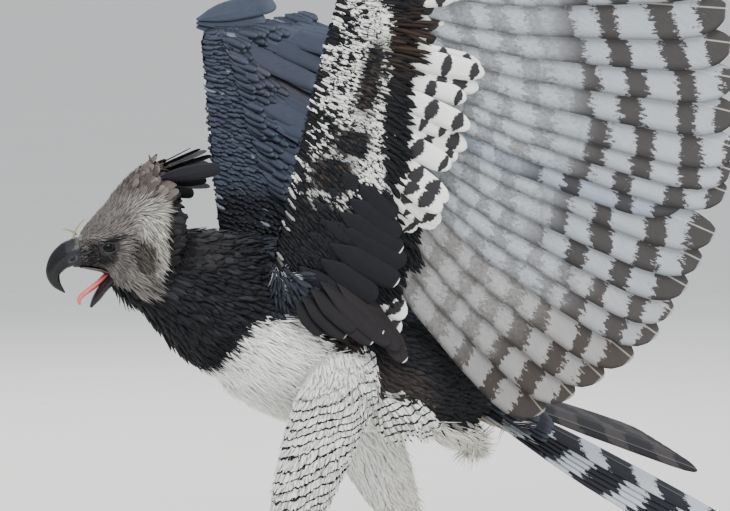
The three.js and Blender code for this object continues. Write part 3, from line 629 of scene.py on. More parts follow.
def lie_of(points):
    """The name of the stretch that each point belongs to, and the blended way that feathers point there."""
    names = list(STRETCHES)
    apart, ways = zip(*(nearest(stretch, points) for stretch in STRETCHES.values()))
    apart = np.array(apart)
    weight = np.exp(-LIE_CHANGE * (apart - apart.min(0)))
    weight[np.char.startswith(names, "arm")] *= ARM_WEIGHT
    flow = sum(weight[k][:, None] * ways[k] for k in range(len(names)))
    return np.array(names)[apart.argmin(0)], unit(flow)


# The colours of the bird, by place: black from nape to breast and down the flanks, white below, and ash on
# the head. They tint the skin and the small feathers of the body coat.
BLACK = srgb(20, 21, 25)
SLATE = srgb(66, 71, 84)
BROWN = srgb(66, 57, 53)
WHITE = srgb(240, 240, 236)
CREAM = srgb(226, 220, 204)
ASH = srgb(168, 161, 155)
SMUDGE = srgb(92, 82, 76)
HORN = srgb(30, 32, 38)
BAND = [
    # from chest to tail, the height at which the black of the breast and flank ends
    [-230, 340], [-210, 348], [-164, 352], [-133, 352], [-112, 340], [-86, 330], [-40, 312], [10, 294],
    [60, 262],
]


def band_height(points):
    """The height of the lower edge of the black plumage above each point."""
    wide = np.interp(points[:, 0], [-215, -164, -120, -80, 0], [0.8, 0.75, 0.65, 0.2, 0])
    return np.interp(points[:, 0], *np.array(BAND).T) + wide * np.abs(points[:, 1])


def head_place(points):
    return (points - HEAD) @ HEAD_AXES.T


def smooth(low, high, values):
    t = np.clip((values - low) / (high - low), 0, 1)
    return t * t * (3 - 2 * t)


def blend(share, first, second):
    """The first colour where share is 0, the second where it is 1. Either may be one for all points."""
    share = np.asarray(share)[..., None]
    return first * (1 - share) + second * share


def oval(x, y, middle, reach, firm=1.0):
    """1 in the middle of an oval spot and falling to 0 round it. firm makes its edge sharper."""
    return np.exp(-(((x - middle[0]) / reach[0]) ** 2 + ((y - middle[1]) / reach[1]) ** 2) ** firm)


def coat_colour(points, names, rng):
    """The feathers' colour at each point of the skin, a little different from one to the next."""
    chance = rng.normal(0, 1, len(points))
    x, y, z = points.T
    edge = z - band_height(points) + 5 * chance
    colour = blend(smooth(-4, 4, edge), WHITE, BLACK)
    flank = smooth(-120, -85, x) * smooth(30, 0, np.abs(edge - 25)) * smooth(60, 20, x)
    colour = blend(flank * 0.6, colour, BROWN)
    behind = smooth(20, 90, x) * (1 - smooth(-4, 4, edge))
    colour = blend(behind * smooth(0.2, 1.2, chance) * smooth(60, 160, x), colour, BROWN)
    colour = blend(behind * 0.35, colour, CREAM)
    back = (names == "torso") & (z > 395)
    colour = blend(back * smooth(-190, -120, x) * 0.45, colour, SLATE)
    head = names == "head"
    forward, left, up = head_place(points).T
    face = blend(smooth(40, 75, up + 0.35 * forward + 25), ASH, SMUDGE * 1.35)
    face = blend(0.9 * oval(forward, up, (-27, -4), (10, 17)), face, SMUDGE * 0.8)
    lore = oval(forward, up, (17, -4), (17, 12)) ** 1.4
    face = blend(np.clip(lore * 1.25, 0, 1), face, HORN * 1.5)
    colour = np.where(head[:, None], face, colour)
    neck = blend(smooth(0.5, 2, chance) * 0.3, BLACK, srgb(54, 56, 62))
    colour = np.where((names == "neck")[:, None], neck, colour)
    thigh = np.char.startswith(names, "thigh")
    colour = np.where((thigh & (edge < 10))[:, None], WHITE, colour)
    return colour * (1 + 0.08 * chance[:, None])


def values_of(entries, label, width, kind=np.float32):
    """One row of numbers for each of a mesh's entries."""
    values = np.empty(len(entries) * width, kind)
    entries.foreach_get(label, values)
    return values.reshape(-1, width)


def corners_of(mesh):
    return values_of(mesh.vertices, "co", 3) / MM - SHIFT


def tint(mesh, colours, name="tint"):
    """Gives a mesh one colour, or one for each corner. A plain number makes a grey."""
    layer = mesh.attributes.new(name, "FLOAT_COLOR", "POINT")
    count = len(mesh.vertices)
    colours = np.broadcast_to(np.clip(colours, 0, 4), (count, 3))
    layer.data.foreach_set("color", np.c_[colours, np.ones(count)].astype(np.float32).ravel())


def place_corners(mesh, places):
    mesh.vertices.foreach_set("co", metres(places).astype(np.float32).ravel())


UNDERCOAT = 0.55  # how bright the skin is against the feathers on it
EYE_PATCH = 19, 12  # where the dark bare skin round an eye starts and is full
skin_points = corners_of(skin_mesh)
skin_names, _ = lie_of(skin_points)
skin_colour = coat_colour(skin_points, skin_names, np.random.default_rng(1)) * UNDERCOAT
bare = np.char.startswith(skin_names, "shank") & (skin_points[:, 2] < SHANK_TOP)
bare |= skin_points[:, 2] < ALL_BARE
skin_colour = np.where(bare[:, None], srgb(214, 168, 62), skin_colour)
round_eye = np.linalg.norm(head_place(skin_points)[:, [0, 2]], axis=1)
skin_colour = blend((skin_names == "head") * smooth(*EYE_PATCH, round_eye), skin_colour, srgb(26, 25, 27))
tint(skin_mesh, skin_colour)
tint(skin_mesh, bare[:, None], "bare")
skin = Paint("skin", roughness=0.6, specular_ior_level=0.4)
bareness = skin.attribute("bare")["Fac"]
cells = {"feature": "DISTANCE_TO_EDGE"}
scutes = skin.node("ShaderNodeTexVoronoi", cells, skin.place((60, 60, 130)), None, 3.4)
creases = scutes["Distance"].over(0.0, 0.07)
pores = skin.noise(900)
colour = skin.mix(bareness * (1 - creases), skin.tint(), srgb(120, 84, 30))
skin.set(
    base_color=skin.mix(pores * 0.35, colour, srgb(60, 48, 34)),
    normal=skin.bump(creases * bareness + pores * 0.3, 0.7, 0.0012),
)
skin_nodes = ["torso", "neck", "head", "tail"]
for side in LEGS:
    skin_nodes += [f"thigh_{side}", f"tarsus_{side}"]
    skin_nodes += [f"toe_{name}_{side}" for name in TOES]
    skin_nodes += [f"wing_{side}_{part}" for part in ("upper_arm", "forearm", "hand", "alula")]
for polygon in skin_mesh.polygons:
    polygon.use_smooth = True
skin_mesh.materials.clear()
skin_piece = piece(skin_mesh, skin, "foot_skin", *skin_nodes)


# The body plumage: short overlapping feathers all over the skin, rooted in it and lying along the body. Each
# is a thin closed blade. The white ones of the belly are narrower, looser and softer than the black ones.
TUFT_PATCH = 0.003  # the share of the colour map that one small feather takes


def blades(
    name, root, along, out, length, lead, trail, profile, columns=(-1, 0, 1), thick=0.6, tilt=0.0, camber=0.0,
    curl=0.0, ridge=0.0, sag=None, colour=None, bake=None, bake_size=None, both_faces=False, seed=0,
):
    """One mesh of many feathers, sizes in millimetres. lead and trail are half-widths to their right and
    left, and profile lists share of length and share of width. curl bends the tip up by a share of the
    length, camber drops the edges and tilt raises the right one. colour is one for all or one per feather.
    bake is where each feather lies on the colour map, which both_faces blades share between two faces."""
    rng = np.random.default_rng(seed)
    count = len(root)
    u, w = np.array(profile, float).T
    v = np.array(columns, float)
    along = unit(along)
    across = unit(np.cross(along, out))
    out = np.cross(across, along)
    length, lead, trail, tilt, camber, curl = (
        np.broadcast_to(np.asarray(value, float), count)[:, None, None]
        for value in (length, lead, trail, tilt, camber, curl)
    )
    u, w = u[None, :, None], w[None, :, None]
    x = np.where(v > 0, lead, trail) * v * w
    flat = root[:, None, None] + along[:, None, None] * (u * length)[..., None]
    flat = flat + across[:, None, None] * x[..., None]
    height = tilt * x - camber * x * x / (lead + trail) + curl * length * u * u
    if sag is not None:
        height = height - sag(flat)
    crown = thick * (0.5 + ridge * np.exp(-(v / 0.09) ** 2) * (1 - 0.8 * u))
    crown = crown * np.clip(1.15 - np.abs(v), 0.35 if both_faces else 0.05, 1)
    top = flat + out[:, None, None] * (height + crown)[..., None]
    points, across_share, wide, face_side = top, v, x, np.ones(len(v))
    if both_faces:
        below = flat + out[:, None, None] * (height - crown)[..., None]
        points = np.concatenate([top, below[:, :, ::-1]], axis=2)
        across_share = np.concatenate([v, v[::-1]])
        wide = np.concatenate([x, x[:, :, ::-1]], axis=2)
        face_side = np.concatenate([face_side, -face_side])
    rows, ring_size = points.shape[1], points.shape[2]

    r, k = np.meshgrid(np.arange(rows - 1), np.arange(ring_size), indexing="ij")
    near, far = r * ring_size, (r + 1) * ring_size
    beside = (k + 1) % ring_size
    quads = np.stack([near + k, near + beside, far + beside, far + k]).reshape(4, -1).T
    flat_walls = (k.ravel() == ring_size - 1) | ((k.ravel() == len(v) - 1) & both_faces)
    ends = np.arange(ring_size)
    caps = [ends[::-1], ends + (rows - 1) * ring_size]
    per_feather = rows * ring_size
    start = (np.arange(count) * per_feather)[:, None]
    loops = np.concatenate([start + np.concatenate([quads.ravel(), *caps])[None]], axis=1).ravel()
    sizes = np.concatenate([np.full(len(quads), 4), np.full(2, ring_size)])
    shape_smooth = np.concatenate([~flat_walls, [False, False]])

    mesh = bpy.data.meshes.new(name)
    mesh.vertices.add(count * per_feather)
    place_corners(mesh, points.reshape(-1, 3))
    mesh.loops.add(len(loops))
    mesh.loops.foreach_set("vertex_index", loops.astype(np.int32))
    mesh.polygons.add(count * len(sizes))
    starts = np.concatenate([[0], np.cumsum(np.tile(sizes, count))[:-1]])
    mesh.polygons.foreach_set("loop_start", starts.astype(np.int32))
    mesh.polygons.foreach_set("use_smooth", np.tile(shape_smooth, count))
    mesh.update(calc_edges=True)

    shape = (count, rows, ring_size)
    chance = np.broadcast_to(rng.random(count)[:, None, None], shape)
    lie = np.stack([np.broadcast_to(u, shape), np.broadcast_to(across_share, shape), chance], -1)
    measure = ((1 - u) * length, wide, face_side)
    measure = np.stack([np.broadcast_to(values, shape) for values in measure], -1)
    for label, values in (("lie", lie), ("measure", measure)):
        layer = mesh.attributes.new(label, "FLOAT_VECTOR", "POINT")
        layer.data.foreach_set("vector", values.astype(np.float32).ravel())
    if colour is not None:
        colour = colour[:, None, None] if colour.ndim == 2 else colour
        tint(mesh, np.broadcast_to(colour, (*shape, 3)).reshape(-1, 3))

    size = np.full((count, 2), TUFT_PATCH) if bake_size is None else np.broadcast_to(bake_size, (count, 2))
    corner = bake - size / 2 if bake_size is None else bake
    sideways = np.where(face_side > 0, across_share + 1, 3 - across_share) / 4 if both_faces else (v + 1) / 2
    spot = np.stack([np.broadcast_to(sideways, shape), np.broadcast_to(u, shape)], -1)
    place = (corner[:, None, None] + size[:, None, None] * spot).reshape(-1, 2)
    mesh.uv_layers.new(name="OFBake").uv.foreach_set("vector", place[loops].astype(np.float32).ravel())
    return mesh


bpy.context.view_layer.objects.active = skin_piece
skin_piece.select_set(True)
bpy.ops.object.mode_set(mode="EDIT")
bpy.ops.mesh.select_all(action="SELECT")
bpy.ops.uv.smart_project(angle_limit=math.radians(66), island_margin=0.004)
bpy.ops.object.mode_set(mode="OBJECT")
skin_mesh = skin_piece.data
skin_mesh.calc_loop_triangles()
triangles = values_of(skin_mesh.loop_triangles, "vertices", 3, np.int32)
triangle_loops = values_of(skin_mesh.loop_triangles, "loops", 3, np.int32)
skin_uv = values_of(skin_mesh.uv_layers.active.uv, "vector", 2)
skin_normal = values_of(skin_mesh.vertices, "normal", 3)
skin_points = corners_of(skin_mesh)
skin_names, skin_flow = lie_of(skin_points)


class Roots:
    """Places on the skin where feathers grow, spread evenly at a spacing in millimetres."""

    CELL = 0.93  # the side of the cell that keeps one feather, by the spacing
    TRIES = 14  # how many places are tried for each that is kept

    def __init__(self, wanted, spacing, seed):
        rng = np.random.default_rng(seed)
        chosen = np.flatnonzero(wanted[triangles].all(1))
        a, b, c = (skin_points[triangles[chosen, k]] for k in range(3))
        area = np.linalg.norm(np.cross(b - a, c - a), axis=1) / 2
        tries = int(area.sum() / spacing ** 2 * self.TRIES)
        pick = rng.choice(len(chosen), tries, p=area / area.sum())
        first, second = rng.random((2, tries))
        over = first + second > 1
        first[over], second[over] = 1 - first[over], 1 - second[over]
        share = np.stack([1 - first - second, first, second], -1)
        corners = triangles[chosen[pick]]
        self.point = (skin_points[corners] * share[..., None]).sum(1)
        cell = np.floor(self.point / (spacing * self.CELL)).astype(np.int64)
        off = np.linalg.norm(self.point / (spacing * self.CELL) - cell - 0.5, axis=1)
        order = np.argsort(off)
        key = (cell[:, 0] * 4001 + cell[:, 1]) * 4001 + cell[:, 2]
        _, kept = np.unique(key[order], return_index=True)
        kept = order[kept]
        corners, share = corners[kept], share[kept]
        self.point = self.point[kept]
        self.out = unit((skin_normal[corners] * share[..., None]).sum(1))
        self.flow = unit((skin_flow[corners] * share[..., None]).sum(1))
        self.names = skin_names[corners[:, 0]]
        self.uv = (skin_uv[triangle_loops[chosen[pick[kept]]]] * share[..., None]).sum(1)
        self.rng = rng

    def __len__(self):
        return len(self.point)

    def keep(self, mask):
        for part in ("point", "out", "flow", "names", "uv"):
            setattr(self, part, getattr(self, part)[mask])

    def on_head(self):
        """How far forward, left and up of the eyes' middle each place is."""
        return head_place(self.point).T

    def grow(self, name, length, width, rise, scatter, profile, colour, curl=-0.12, sink=1.5, **more):
        """Feathers from these places. rise is how far they stand off, scatter how unruly they are, and sink
        how deep their roots are."""
        count = len(self)
        flow = self.flow + self.rng.normal(0, scatter, (count, 3))
        lying = unit(flow - self.out * (flow * self.out).sum(1)[:, None])
        rise = rise * self.rng.uniform(0.6, 1.4, count)
        along = unit(lying + self.out * rise[:, None])
        length = length * self.rng.uniform(0.8, 1.2, count)
        return blades(
            name, self.point - self.out * sink, along, self.out, length, width, width, profile,
            curl=curl, colour=colour, bake=self.uv, **more,
        )


PLUME = [[0, 0.5], [0.4, 1], [0.78, 0.85], [1, 0.12]]
SCALE = [[0, 0.5], [0.5, 1], [0.85, 0.8], [1, 0.2]]
WISP = [[0, 0.6], [0.5, 1], [1, 0.06]]


class FeatherPaint(Paint):
    """A feather's finish, with where on the feather a point lies: share of the length and of the half-width,
    the feather's own chance, and millimetres from its tip and from its shaft."""

    def __init__(self, name, roughness=0.74):
        super().__init__(name, roughness=roughness, specular_ior_level=0.22)
        lie = self.node("ShaderNodeSeparateXYZ", {}, self.attribute("lie")["Vector"])
        measure = self.node("ShaderNodeSeparateXYZ", {}, self.attribute("measure")["Vector"])
        self.along, self.across, self.chance = lie["X"], lie["Y"], lie["Z"]
        self.from_tip, self.from_shaft, self.face = measure["X"], measure["Y"], measure["Z"]
        self.off_shaft = self.from_shaft.math("ABSOLUTE")
        slant = self.from_tip * 0.5 + self.off_shaft * 0.9
        self.barbs = self.grain(slant * 0.9, self.from_shaft * 0.06, self.chance * 40, 2.0, 0.6, 1.6)

    def grain(self, x, y, z=None, detail=2.0, roughness=0.5, scale=1.0):
        """A noise over three values of its own, which run along or across the feather."""
        return self.noise(scale, self.node("ShaderNodeCombineXYZ", {}, x, y, z)["Vector"], detail, roughness)

    def speckle(self, across, down, apart, detail=2.0, roughness=0.5):
        """A grain that is that fine across the feather and down it, and differs from one to the next."""
        where = (self.from_shaft * across, self.from_tip * down, self.chance * apart)
        return self.grain(*where, detail, roughness)

    def tinted(self, by):
        return self.shaded(self.tint(), by)

    def finish(self, colour, relief=0.3, depth=0.0005):
        """Sets the colour, with the barbs standing out of the vane."""
        self.set(base_color=colour, normal=self.bump(self.barbs, relief, depth))


plumage = FeatherPaint("plumage")
shade = 0.62 + plumage.barbs * 0.5 + plumage.along * 0.16 + plumage.chance * 0.14
plumage.finish(plumage.tinted(shade), 0.35, 0.0006)

skin_height = skin_points[:, 2]
growing = ~(np.char.startswith(skin_names, "shank") & (skin_height < SHANK_TOP)) & (skin_height > ALL_BARE)
on_arm = np.char.startswith(skin_names, "arm")
on_head_skin = skin_names == "head"
white = skin_height < band_height(skin_points) + 4
thigh = np.char.startswith(skin_names, "thigh")
body = growing & ~on_arm & ~on_head_skin

black_coat = Roots(body & ~white & ~thigh, 4.8, 11)
colour = coat_colour(black_coat.point, black_coat.names, black_coat.rng)
mesh = black_coat.grow("coat_dark", 25, 3.6, 0.3, 0.14, PLUME, colour, curl=-0.1, sink=1, camber=0.6)
piece(mesh, plumage, "dark_feather")

belly = Roots(body & white & ~thigh, 3.0, 12)
colour = coat_colour(belly.point, belly.names, belly.rng)
mesh = belly.grow("coat_white", 30, 1.3, 0.3, 0.22, WISP, colour, curl=-0.2, camber=0.6)
piece(mesh, plumage, "pale_feather")


# Loose down: a white patch at each shoulder, pale streaks over the brown flank, white tufts from the belly
# over the top of the thigh, and long white wisps with brown ends below the tail. Each is a thin soft blade
# that stands off the feathers round it.
LOOSE = {
    # name: middle of the patch on the left, its reach each way, spacing, length, half-width, rise, colour
    "shoulder_down": ((-140, -88, 436), (13, 34, 26), 1.5, 13, 0.32, 0.42, srgb(226, 228, 228)),
    "flank_streaks": ((-25, -84, 352), (36, 34, 26), 3.6, 24, 0.4, 0.22, srgb(168, 160, 152)),
    "belly_down": ((-84, -84, 330), (44, 40, 30), 2.0, 27, 0.6, 0.2, srgb(240, 240, 238)),
}
both_sides = np.abs(skin_points) * [0, 1, 0] + skin_points * [1, 0, 1]
for name, (middle, reach, spacing, long, half, rise, shade) in LOOSE.items():
    off = np.linalg.norm((both_sides - np.abs(middle) * [-1, 1, 1]) / reach, axis=1)
    down = Roots(body & (off < 1), spacing, 14)
    if name == "belly_down":
        down.flow = unit(down.flow * 0.4 + [0.7, 0, -0.5])
    tone = shade * down.rng.uniform(0.7, 1.05, len(down))[:, None]
    mesh = down.grow(name, long, half, rise, 0.34, WISP, tone, curl=-0.25, camber=0.4, thick=min(0.6, half))
    piece(mesh, plumage, "pale_feather")

wisps = Roots(body & white & (skin_points[:, 0] > 40), 3.4, 15)
share = wisps.rng.random(len(wisps)) ** 2 * smooth(80, 150, wisps.point[:, 0])
tone = blend(share, srgb(236, 233, 224), srgb(92, 78, 64))
mesh = wisps.grow("vent_wisps", 36, 0.9, 0.36, 0.24, WISP, tone, curl=-0.3, camber=0.5, thick=0.5)
piece(mesh, plumage, "pale_feather")


# The wings: ten primaries, thirteen secondaries and four tertials each, stiff vanes on pale shafts, barred
# dark brown on grey. Each is one closed blade rooted on the bone and turned a little about its shaft, so that
# it lies over the next. The inner six are marbled further out, the left wing's outer six notched to fingers.
SHINGLE = 0.11  # that turn
STEP_DOWN = 0.2  # how much lower each root lies than the last
INNER, FIRST_FINGER = 6, 21


def fine(profile, rows):
    """A profile of more points along the same curve, rounded off at the tip."""
    u, w = np.array(profile, float).T
    steps = 1 - (1 - np.linspace(0, 1, rows)) ** 1.7
    return np.stack([steps, np.interp(steps, u, w)], -1)


VANE = [
    [0, 0.1], [0.06, 0.25], [0.16, 0.55], [0.3, 0.84], [0.45, 1], [0.7, 0.99], [0.86, 0.92], [0.93, 0.79],
    [0.97, 0.6], [0.99, 0.38], [1, 0.12],
]
SOFT_BAR = 47  # millimetres from one soft bar to the next
FINGER = [[0, 0.1], [0.16, 0.6], [0.5, 1], [0.58, 0.92], [0.66, 0.64], [0.9, 0.5], [0.97, 0.36], [1, 0.12]]
STIFF = {"columns": (-1, -0.75, -0.5, -0.25, -0.1, 0, 0.1, 0.3, 0.6, 1), "both_faces": True}
LONG = {"columns": (-1, -0.6, -0.2, 0, 0.2, 0.6, 1), "both_faces": True}
BROAD = {"columns": (-1, -0.5, 0, 0.5, 1), "both_faces": True}


def barred(
    name, stops, stretch, pale, dark, upper_pale, upper_dark, marbled=(150, 235), wander=40, broken=0.35,
):
    """A barred vane. stops list shares of stretch, in millimetres from the tip, with 1 for the pale colour.
    Between the two distances from the tip in marbled they give way to softer bars. wander moves one feather's
    bars by millimetres, and broken roughens them."""
    made = FeatherPaint(name, roughness=0.62)
    jag = made.speckle(0.26, 0.1, 60, 3.0, 0.7)
    mottle = made.speckle(0.3, 0.2, 30, 3.0, 0.75)
    drift = made.grain(made.chance * 50, made.from_tip * 0.012)
    shift = (jag - 0.5) * 36 + made.off_shaft * 0.35 + (made.chance - 0.5) * wander
    shift = shift + (drift - 0.5) * wander
    bars = made.node("ShaderNodeValToRGB", {"stops": stops}, (made.from_tip + shift) / stretch)["Color"]
    inner = made.from_tip.over(*marbled)
    outer_share = (bars + (mottle - 0.5) * broken).over(0.2, 0.8)
    again = ((made.from_tip + shift * 1.3) / SOFT_BAR).math("FRACT") - 0.5
    inner_share = 0.36 + (mottle - 0.5) * 1.1 + again.math("ABSOLUTE").over(0.22, 0.27) * 0.46
    share = outer_share * (1 - inner) + inner_share * inner
    fringe = made.from_tip.over(3.4, 1.6)
    share = share.math("MAXIMUM", fringe * 0.9)
    upper = made.face.over(-0.1, 0.1)
    pale_now = made.mix(inner * 0.5, pale, srgb(190, 196, 203))
    dark_now = made.mix(inner * 0.35, dark, srgb(120, 121, 122))
    colour = made.mix(upper, made.mix(share, dark_now, pale_now), made.mix(share, upper_dark, upper_pale))
    shaft = made.off_shaft.over(1.1, 0.6)
    colour = made.mix(shaft * (0.6 - upper * 0.4), colour, srgb(190, 186, 178))
    # Painted shadow: each vane is darkened towards both edges, where it laps over or under its neighbour.
    edge = made.across.math("ABSOLUTE").over(0.9, 1.0)
    tone = (0.7 + made.barbs * 0.5 + made.chance * 0.12) * (1 - edge * 0.4)
    tinted = made.node("ShaderNodeVectorMath", {"operation": "MULTIPLY"}, colour, made.tint())
    made.finish(made.shaded(tinted["Vector"], tone))
    return made


WING_BARS = [
    (0, 0), (0.115, 0), (0.135, 1), (0.215, 1), (0.235, 0), (0.31, 0), (0.33, 1), (0.45, 1), (0.47, 0.05),
    (0.545, 0.05), (0.57, 0.8), (0.66, 0.7), (0.68, 0.15), (0.74, 0.15), (0.78, 0.7), (0.88, 0.6),
    (0.92, 0.2), (1, 0.6),
]
UPPER_GREYS = srgb(84, 90, 103), srgb(40, 42, 49)
flight_paint = barred("flight_feather", WING_BARS, 260, srgb(162, 166, 172), srgb(64, 61, 61), *UPPER_GREYS)
inner_paint = barred(
    "inner_flight_feather", WING_BARS, 230, srgb(160, 162, 166), srgb(70, 66, 65), *UPPER_GREYS,
    marbled=(80, 170), broken=0.8,
)


def spotted(name, spots, dark, size):
    """Pale feathers with a dark blotch across the vane at each of the shares of the length in spots."""
    made = FeatherPaint(name)
    jag = made.speckle(0.35, 0.2, 70, 2.5, 0.7) - 0.5
    mark = None
    for spot in spots:
        own = (made.chance * (3 + 5 * spot)).math("FRACT")
        off = (made.along + (own - 0.5) * 0.16 - spot).math("ABSOLUTE") / (size * (0.6 + own * 0.7))
        reach = off + made.across.math("ABSOLUTE").math("POWER", 2) * 0.75 + jag * 1.3
        one = reach.over(1.15, 0.85)
        mark = one if mark is None else mark.math("MAXIMUM", one)
    tone = 0.66 + made.barbs * 0.42 + made.along * 0.14
    made.finish(made.mix(mark, made.tinted(tone), made.shaded(dark, tone)))
    return made


for wing in WINGS:
    i = np.arange(FLIGHT)
    along, _ = wing.feather_way(i)
    on_bone = np.where(wing.roots < wing.span, wing.bone(wing.roots), 0)
    root = wing.at(wing.roots, on_bone, -STEP_DOWN * (i - FLIGHT // 2)) + along * 4
    primary = i >= TERTIALS + SECONDARIES
    wide = np.where(primary, 58 - 1.2 * (i - TERTIALS - SECONDARIES), 62)
    length = np.interp(i, *np.array(wing.reach).T) * np.where(i == wing.short, 0.9, 1) - 4
    tone = np.ones((FLIGHT, 3)) * np.interp(i, [0, 3, 6, 26], [0.7, 0.85, 1, 1])[:, None]
    tone[:4] *= [1.04, 0.98, 0.92]
    if wing.short is not None:
        tone[wing.short] = [0.86, 0.92, 1.02]
    fingered = (i >= FIRST_FINGER) & (wing.name == "left")
    parts = [
        ("inner_flight", i < INNER, VANE, inner_paint),
        ("flight", (i >= INNER) & ~fingered, VANE, flight_paint),
    ]
    if fingered.any():
        parts.append(("fingers", fingered, FINGER, flight_paint))
    for part, chosen, profile, paint in parts:
        lead, trail = (wide * 0.3)[chosen], (wide * 0.7)[chosen]
        first, second = (lead, trail) if wing.side > 0 else (trail, lead)
        cells = np.stack([i[chosen] / FLIGHT, np.zeros(chosen.sum())], -1)
        mesh = blades(
            f"wing_{wing.name}_{part}", wing.flip(root[chosen]), wing.flip(along[chosen]),
            wing.flip(wing.n)[None], length[chosen], first, second, fine(profile, 34), thick=0.8,
            tilt=SHINGLE * wing.side, camber=0.05, curl=-0.012, ridge=0.7, sag=wing.sag_from(root[chosen]),
            colour=tone[chosen], bake=cells, bake_size=[0.95 / FLIGHT, 0.98], seed=31 + wing.side, **STIFF,
        )
        piece(mesh, paint, "wing_feather")


# The coverts: rows of blades that lap over the roots of the flight feathers on both faces, finer towards the
# leading edge. On the under face they are white, flecked and spotted with black, with a black strip between
# the small ones and the great ones. On the upper face they are slate, small and close like scales.
FACE = {"upper": 1, "under": -1}
# s and b along the line between small and great coverts, the black strip and the great coverts' ends
STRIP = [[-30, 112], [50, 110], [193, 77], [334, 53], [390, 40], [530, 18]]
BLACK_STRIP = [
    [30, 124], [75, 112], [100, 99], [160, 75], [193, 67], [238, 60], [334, 47], [390, 37], [530, 14],
]
GREAT_ENDS = [[-30, 158], [81, 162], [179, 157], [276, 150], [340, 136], [400, 112], [530, 78]]
HOLLOWS = [(246, 40, 42, 15), (168, 36, 16, 21), (128, 22, 20, 23)]  # s, b and the reach along each
FOOTHOLD = 2.9  # millimetres from the skin to a covert's place
ROOT_DEPTH = 1.5  # and how far under that place its root is
LOOK_AHEAD = 8.0  # over how many millimetres the slope under a covert is taken


def along_line(s, line):
    return np.interp(s, *np.array(line, float).T)


def worked_out(value, *places):
    """A plain value, or one that depends on where each feather lies."""
    return value(*places) if callable(value) else value


def covert_rows(wing, face, rows, rng, lift, stray):
    """Roots and ways of feathers in rows. Each row lists s from, s to, step, and how far back it lies at any
    s, from which its feathers stray by a share of the step."""
    sign = FACE[face]
    s, b = [], []
    for first, last, step, back in rows:
        count = int((last - first) / step)
        along_row = first + (np.arange(count) + rng.uniform(0.15, 0.85, count)) * step
        s.append(along_row)
        b.append(back(along_row) + rng.normal(0, step * stray, count))
    s, b = np.concatenate(s), np.concatenate(b)
    along, _ = wing.feather_way(np.interp(s, wing.roots, np.arange(FLIGHT)))
    along = unit(along + rng.normal(0, 0.04 + stray * 0.08, along.shape))
    out, back = wing.turned(s)
    further = wing.depth(s + (along * out).sum(-1) * LOOK_AHEAD, b + (along * back).sum(-1) * LOOK_AHEAD)
    slope = (further - wing.depth(s, b)) / LOOK_AHEAD
    normal = wing.n * sign
    way = unit(along + normal * np.maximum(slope, -0.5)[:, None])
    lift = worked_out(lift, s, b)
    root = wing.at(s, b, sign * (wing.depth(s, b) - COAT["arm"] + FOOTHOLD + lift))
    return s, b, root, way, unit(normal - way * (way @ normal)[:, None])


def coverts(
    name, wing, face, rows, length, half, rise, profile, paint, slot, colour, seed, lift=0.0, stray=0.14,
    **more,
):
    """A piece of covert feathers. length, half, colour and lift may depend on where each lies."""
    rng = np.random.default_rng(seed)
    s, b, root, way, out = covert_rows(wing, face, rows, rng, lift, stray)
    long = worked_out(length, s, b) * rng.uniform(0.88, 1.12, len(s))
    wide = worked_out(half, s, b)
    unwrapped = np.stack([(s + 60) / 680 * 0.5 + (0.5 if face == "under" else 0), (b + 60) / 300], -1)
    mesh = blades(
        name, wing.flip(root - out * ROOT_DEPTH), wing.flip(unit(way + out * rise)), wing.flip(out),
        long, wide, wide, profile, sag=wing.sag_from(root, FACE[face]), colour=worked_out(colour, s, b, rng),
        bake=unwrapped, seed=seed, **more,
    )
    piece(mesh, paint, slot)


def between(wing, share, rear):
    """A row at a share of the way from the leading edge back to a line."""
    return lambda s: wing.front(s) + 3 + (along_line(s, rear) - wing.front(s) - 3) * share


def under_colour(s, b, rng):
    """White flecked with black; dark hollows in the skin's folds; all black near the body."""
    chance = rng.random(len(s))
    b = b + 11
    share = (b + 22) / (along_line(s, BLACK_STRIP) + 22)
    fleck = chance < np.interp(share, [0.1, 0.22, 0.34, 0.5, 0.8, 1], [0.75, 0.4, 0.3, 0.12, 0.03, 0.1])
    colour = np.where(fleck[:, None], BLACK, WHITE)
    hollow = np.zeros(len(s))
    for place, back, long, wide in HOLLOWS:
        hollow = np.maximum(hollow, np.exp(-(((s - place) / long) ** 4 + ((b - back) / wide) ** 4)))
    deep = np.where(chance[:, None] < 0.4, srgb(58, 50, 45), BLACK)
    colour = blend(np.clip(hollow * 1.6, 0, 1), colour, deep)
    inner = smooth(112, 92, s + rng.normal(0, 7, len(s))) * smooth(-16, -6, b)
    return blend(inner, colour, BLACK)


def black_with_brown(s, b, rng):
    tuft = np.exp(-(((s - 296) / 40) ** 2)) * rng.random(len(s))
    return blend(np.clip(tuft * 1.2, 0, 1), BLACK, srgb(48, 37, 29))


def strip_length(s, b):
    """The strip's feathers are short, but for a few loose brown tufts."""
    return 20 + 22 * np.exp(-(((s - 296) / 34) ** 2)) * (np.sin(s * 0.25) > 0)


def slate_upper(s, b, rng):
    chance = rng.random(len(s))
    colour = blend(chance * 0.6, srgb(55, 61, 74), srgb(74, 82, 97))
    colour = blend(smooth(110, 70, s), colour, BLACK)
    pale = (chance > 0.985) & (b < 30)
    colour = np.where(pale[:, None], srgb(110, 118, 130), colour)
    worn = oval(s, b, (300, 75), (60, 40))
    return blend(np.clip(worn * 1.3 * chance, 0, 1), colour, srgb(92, 72, 62))


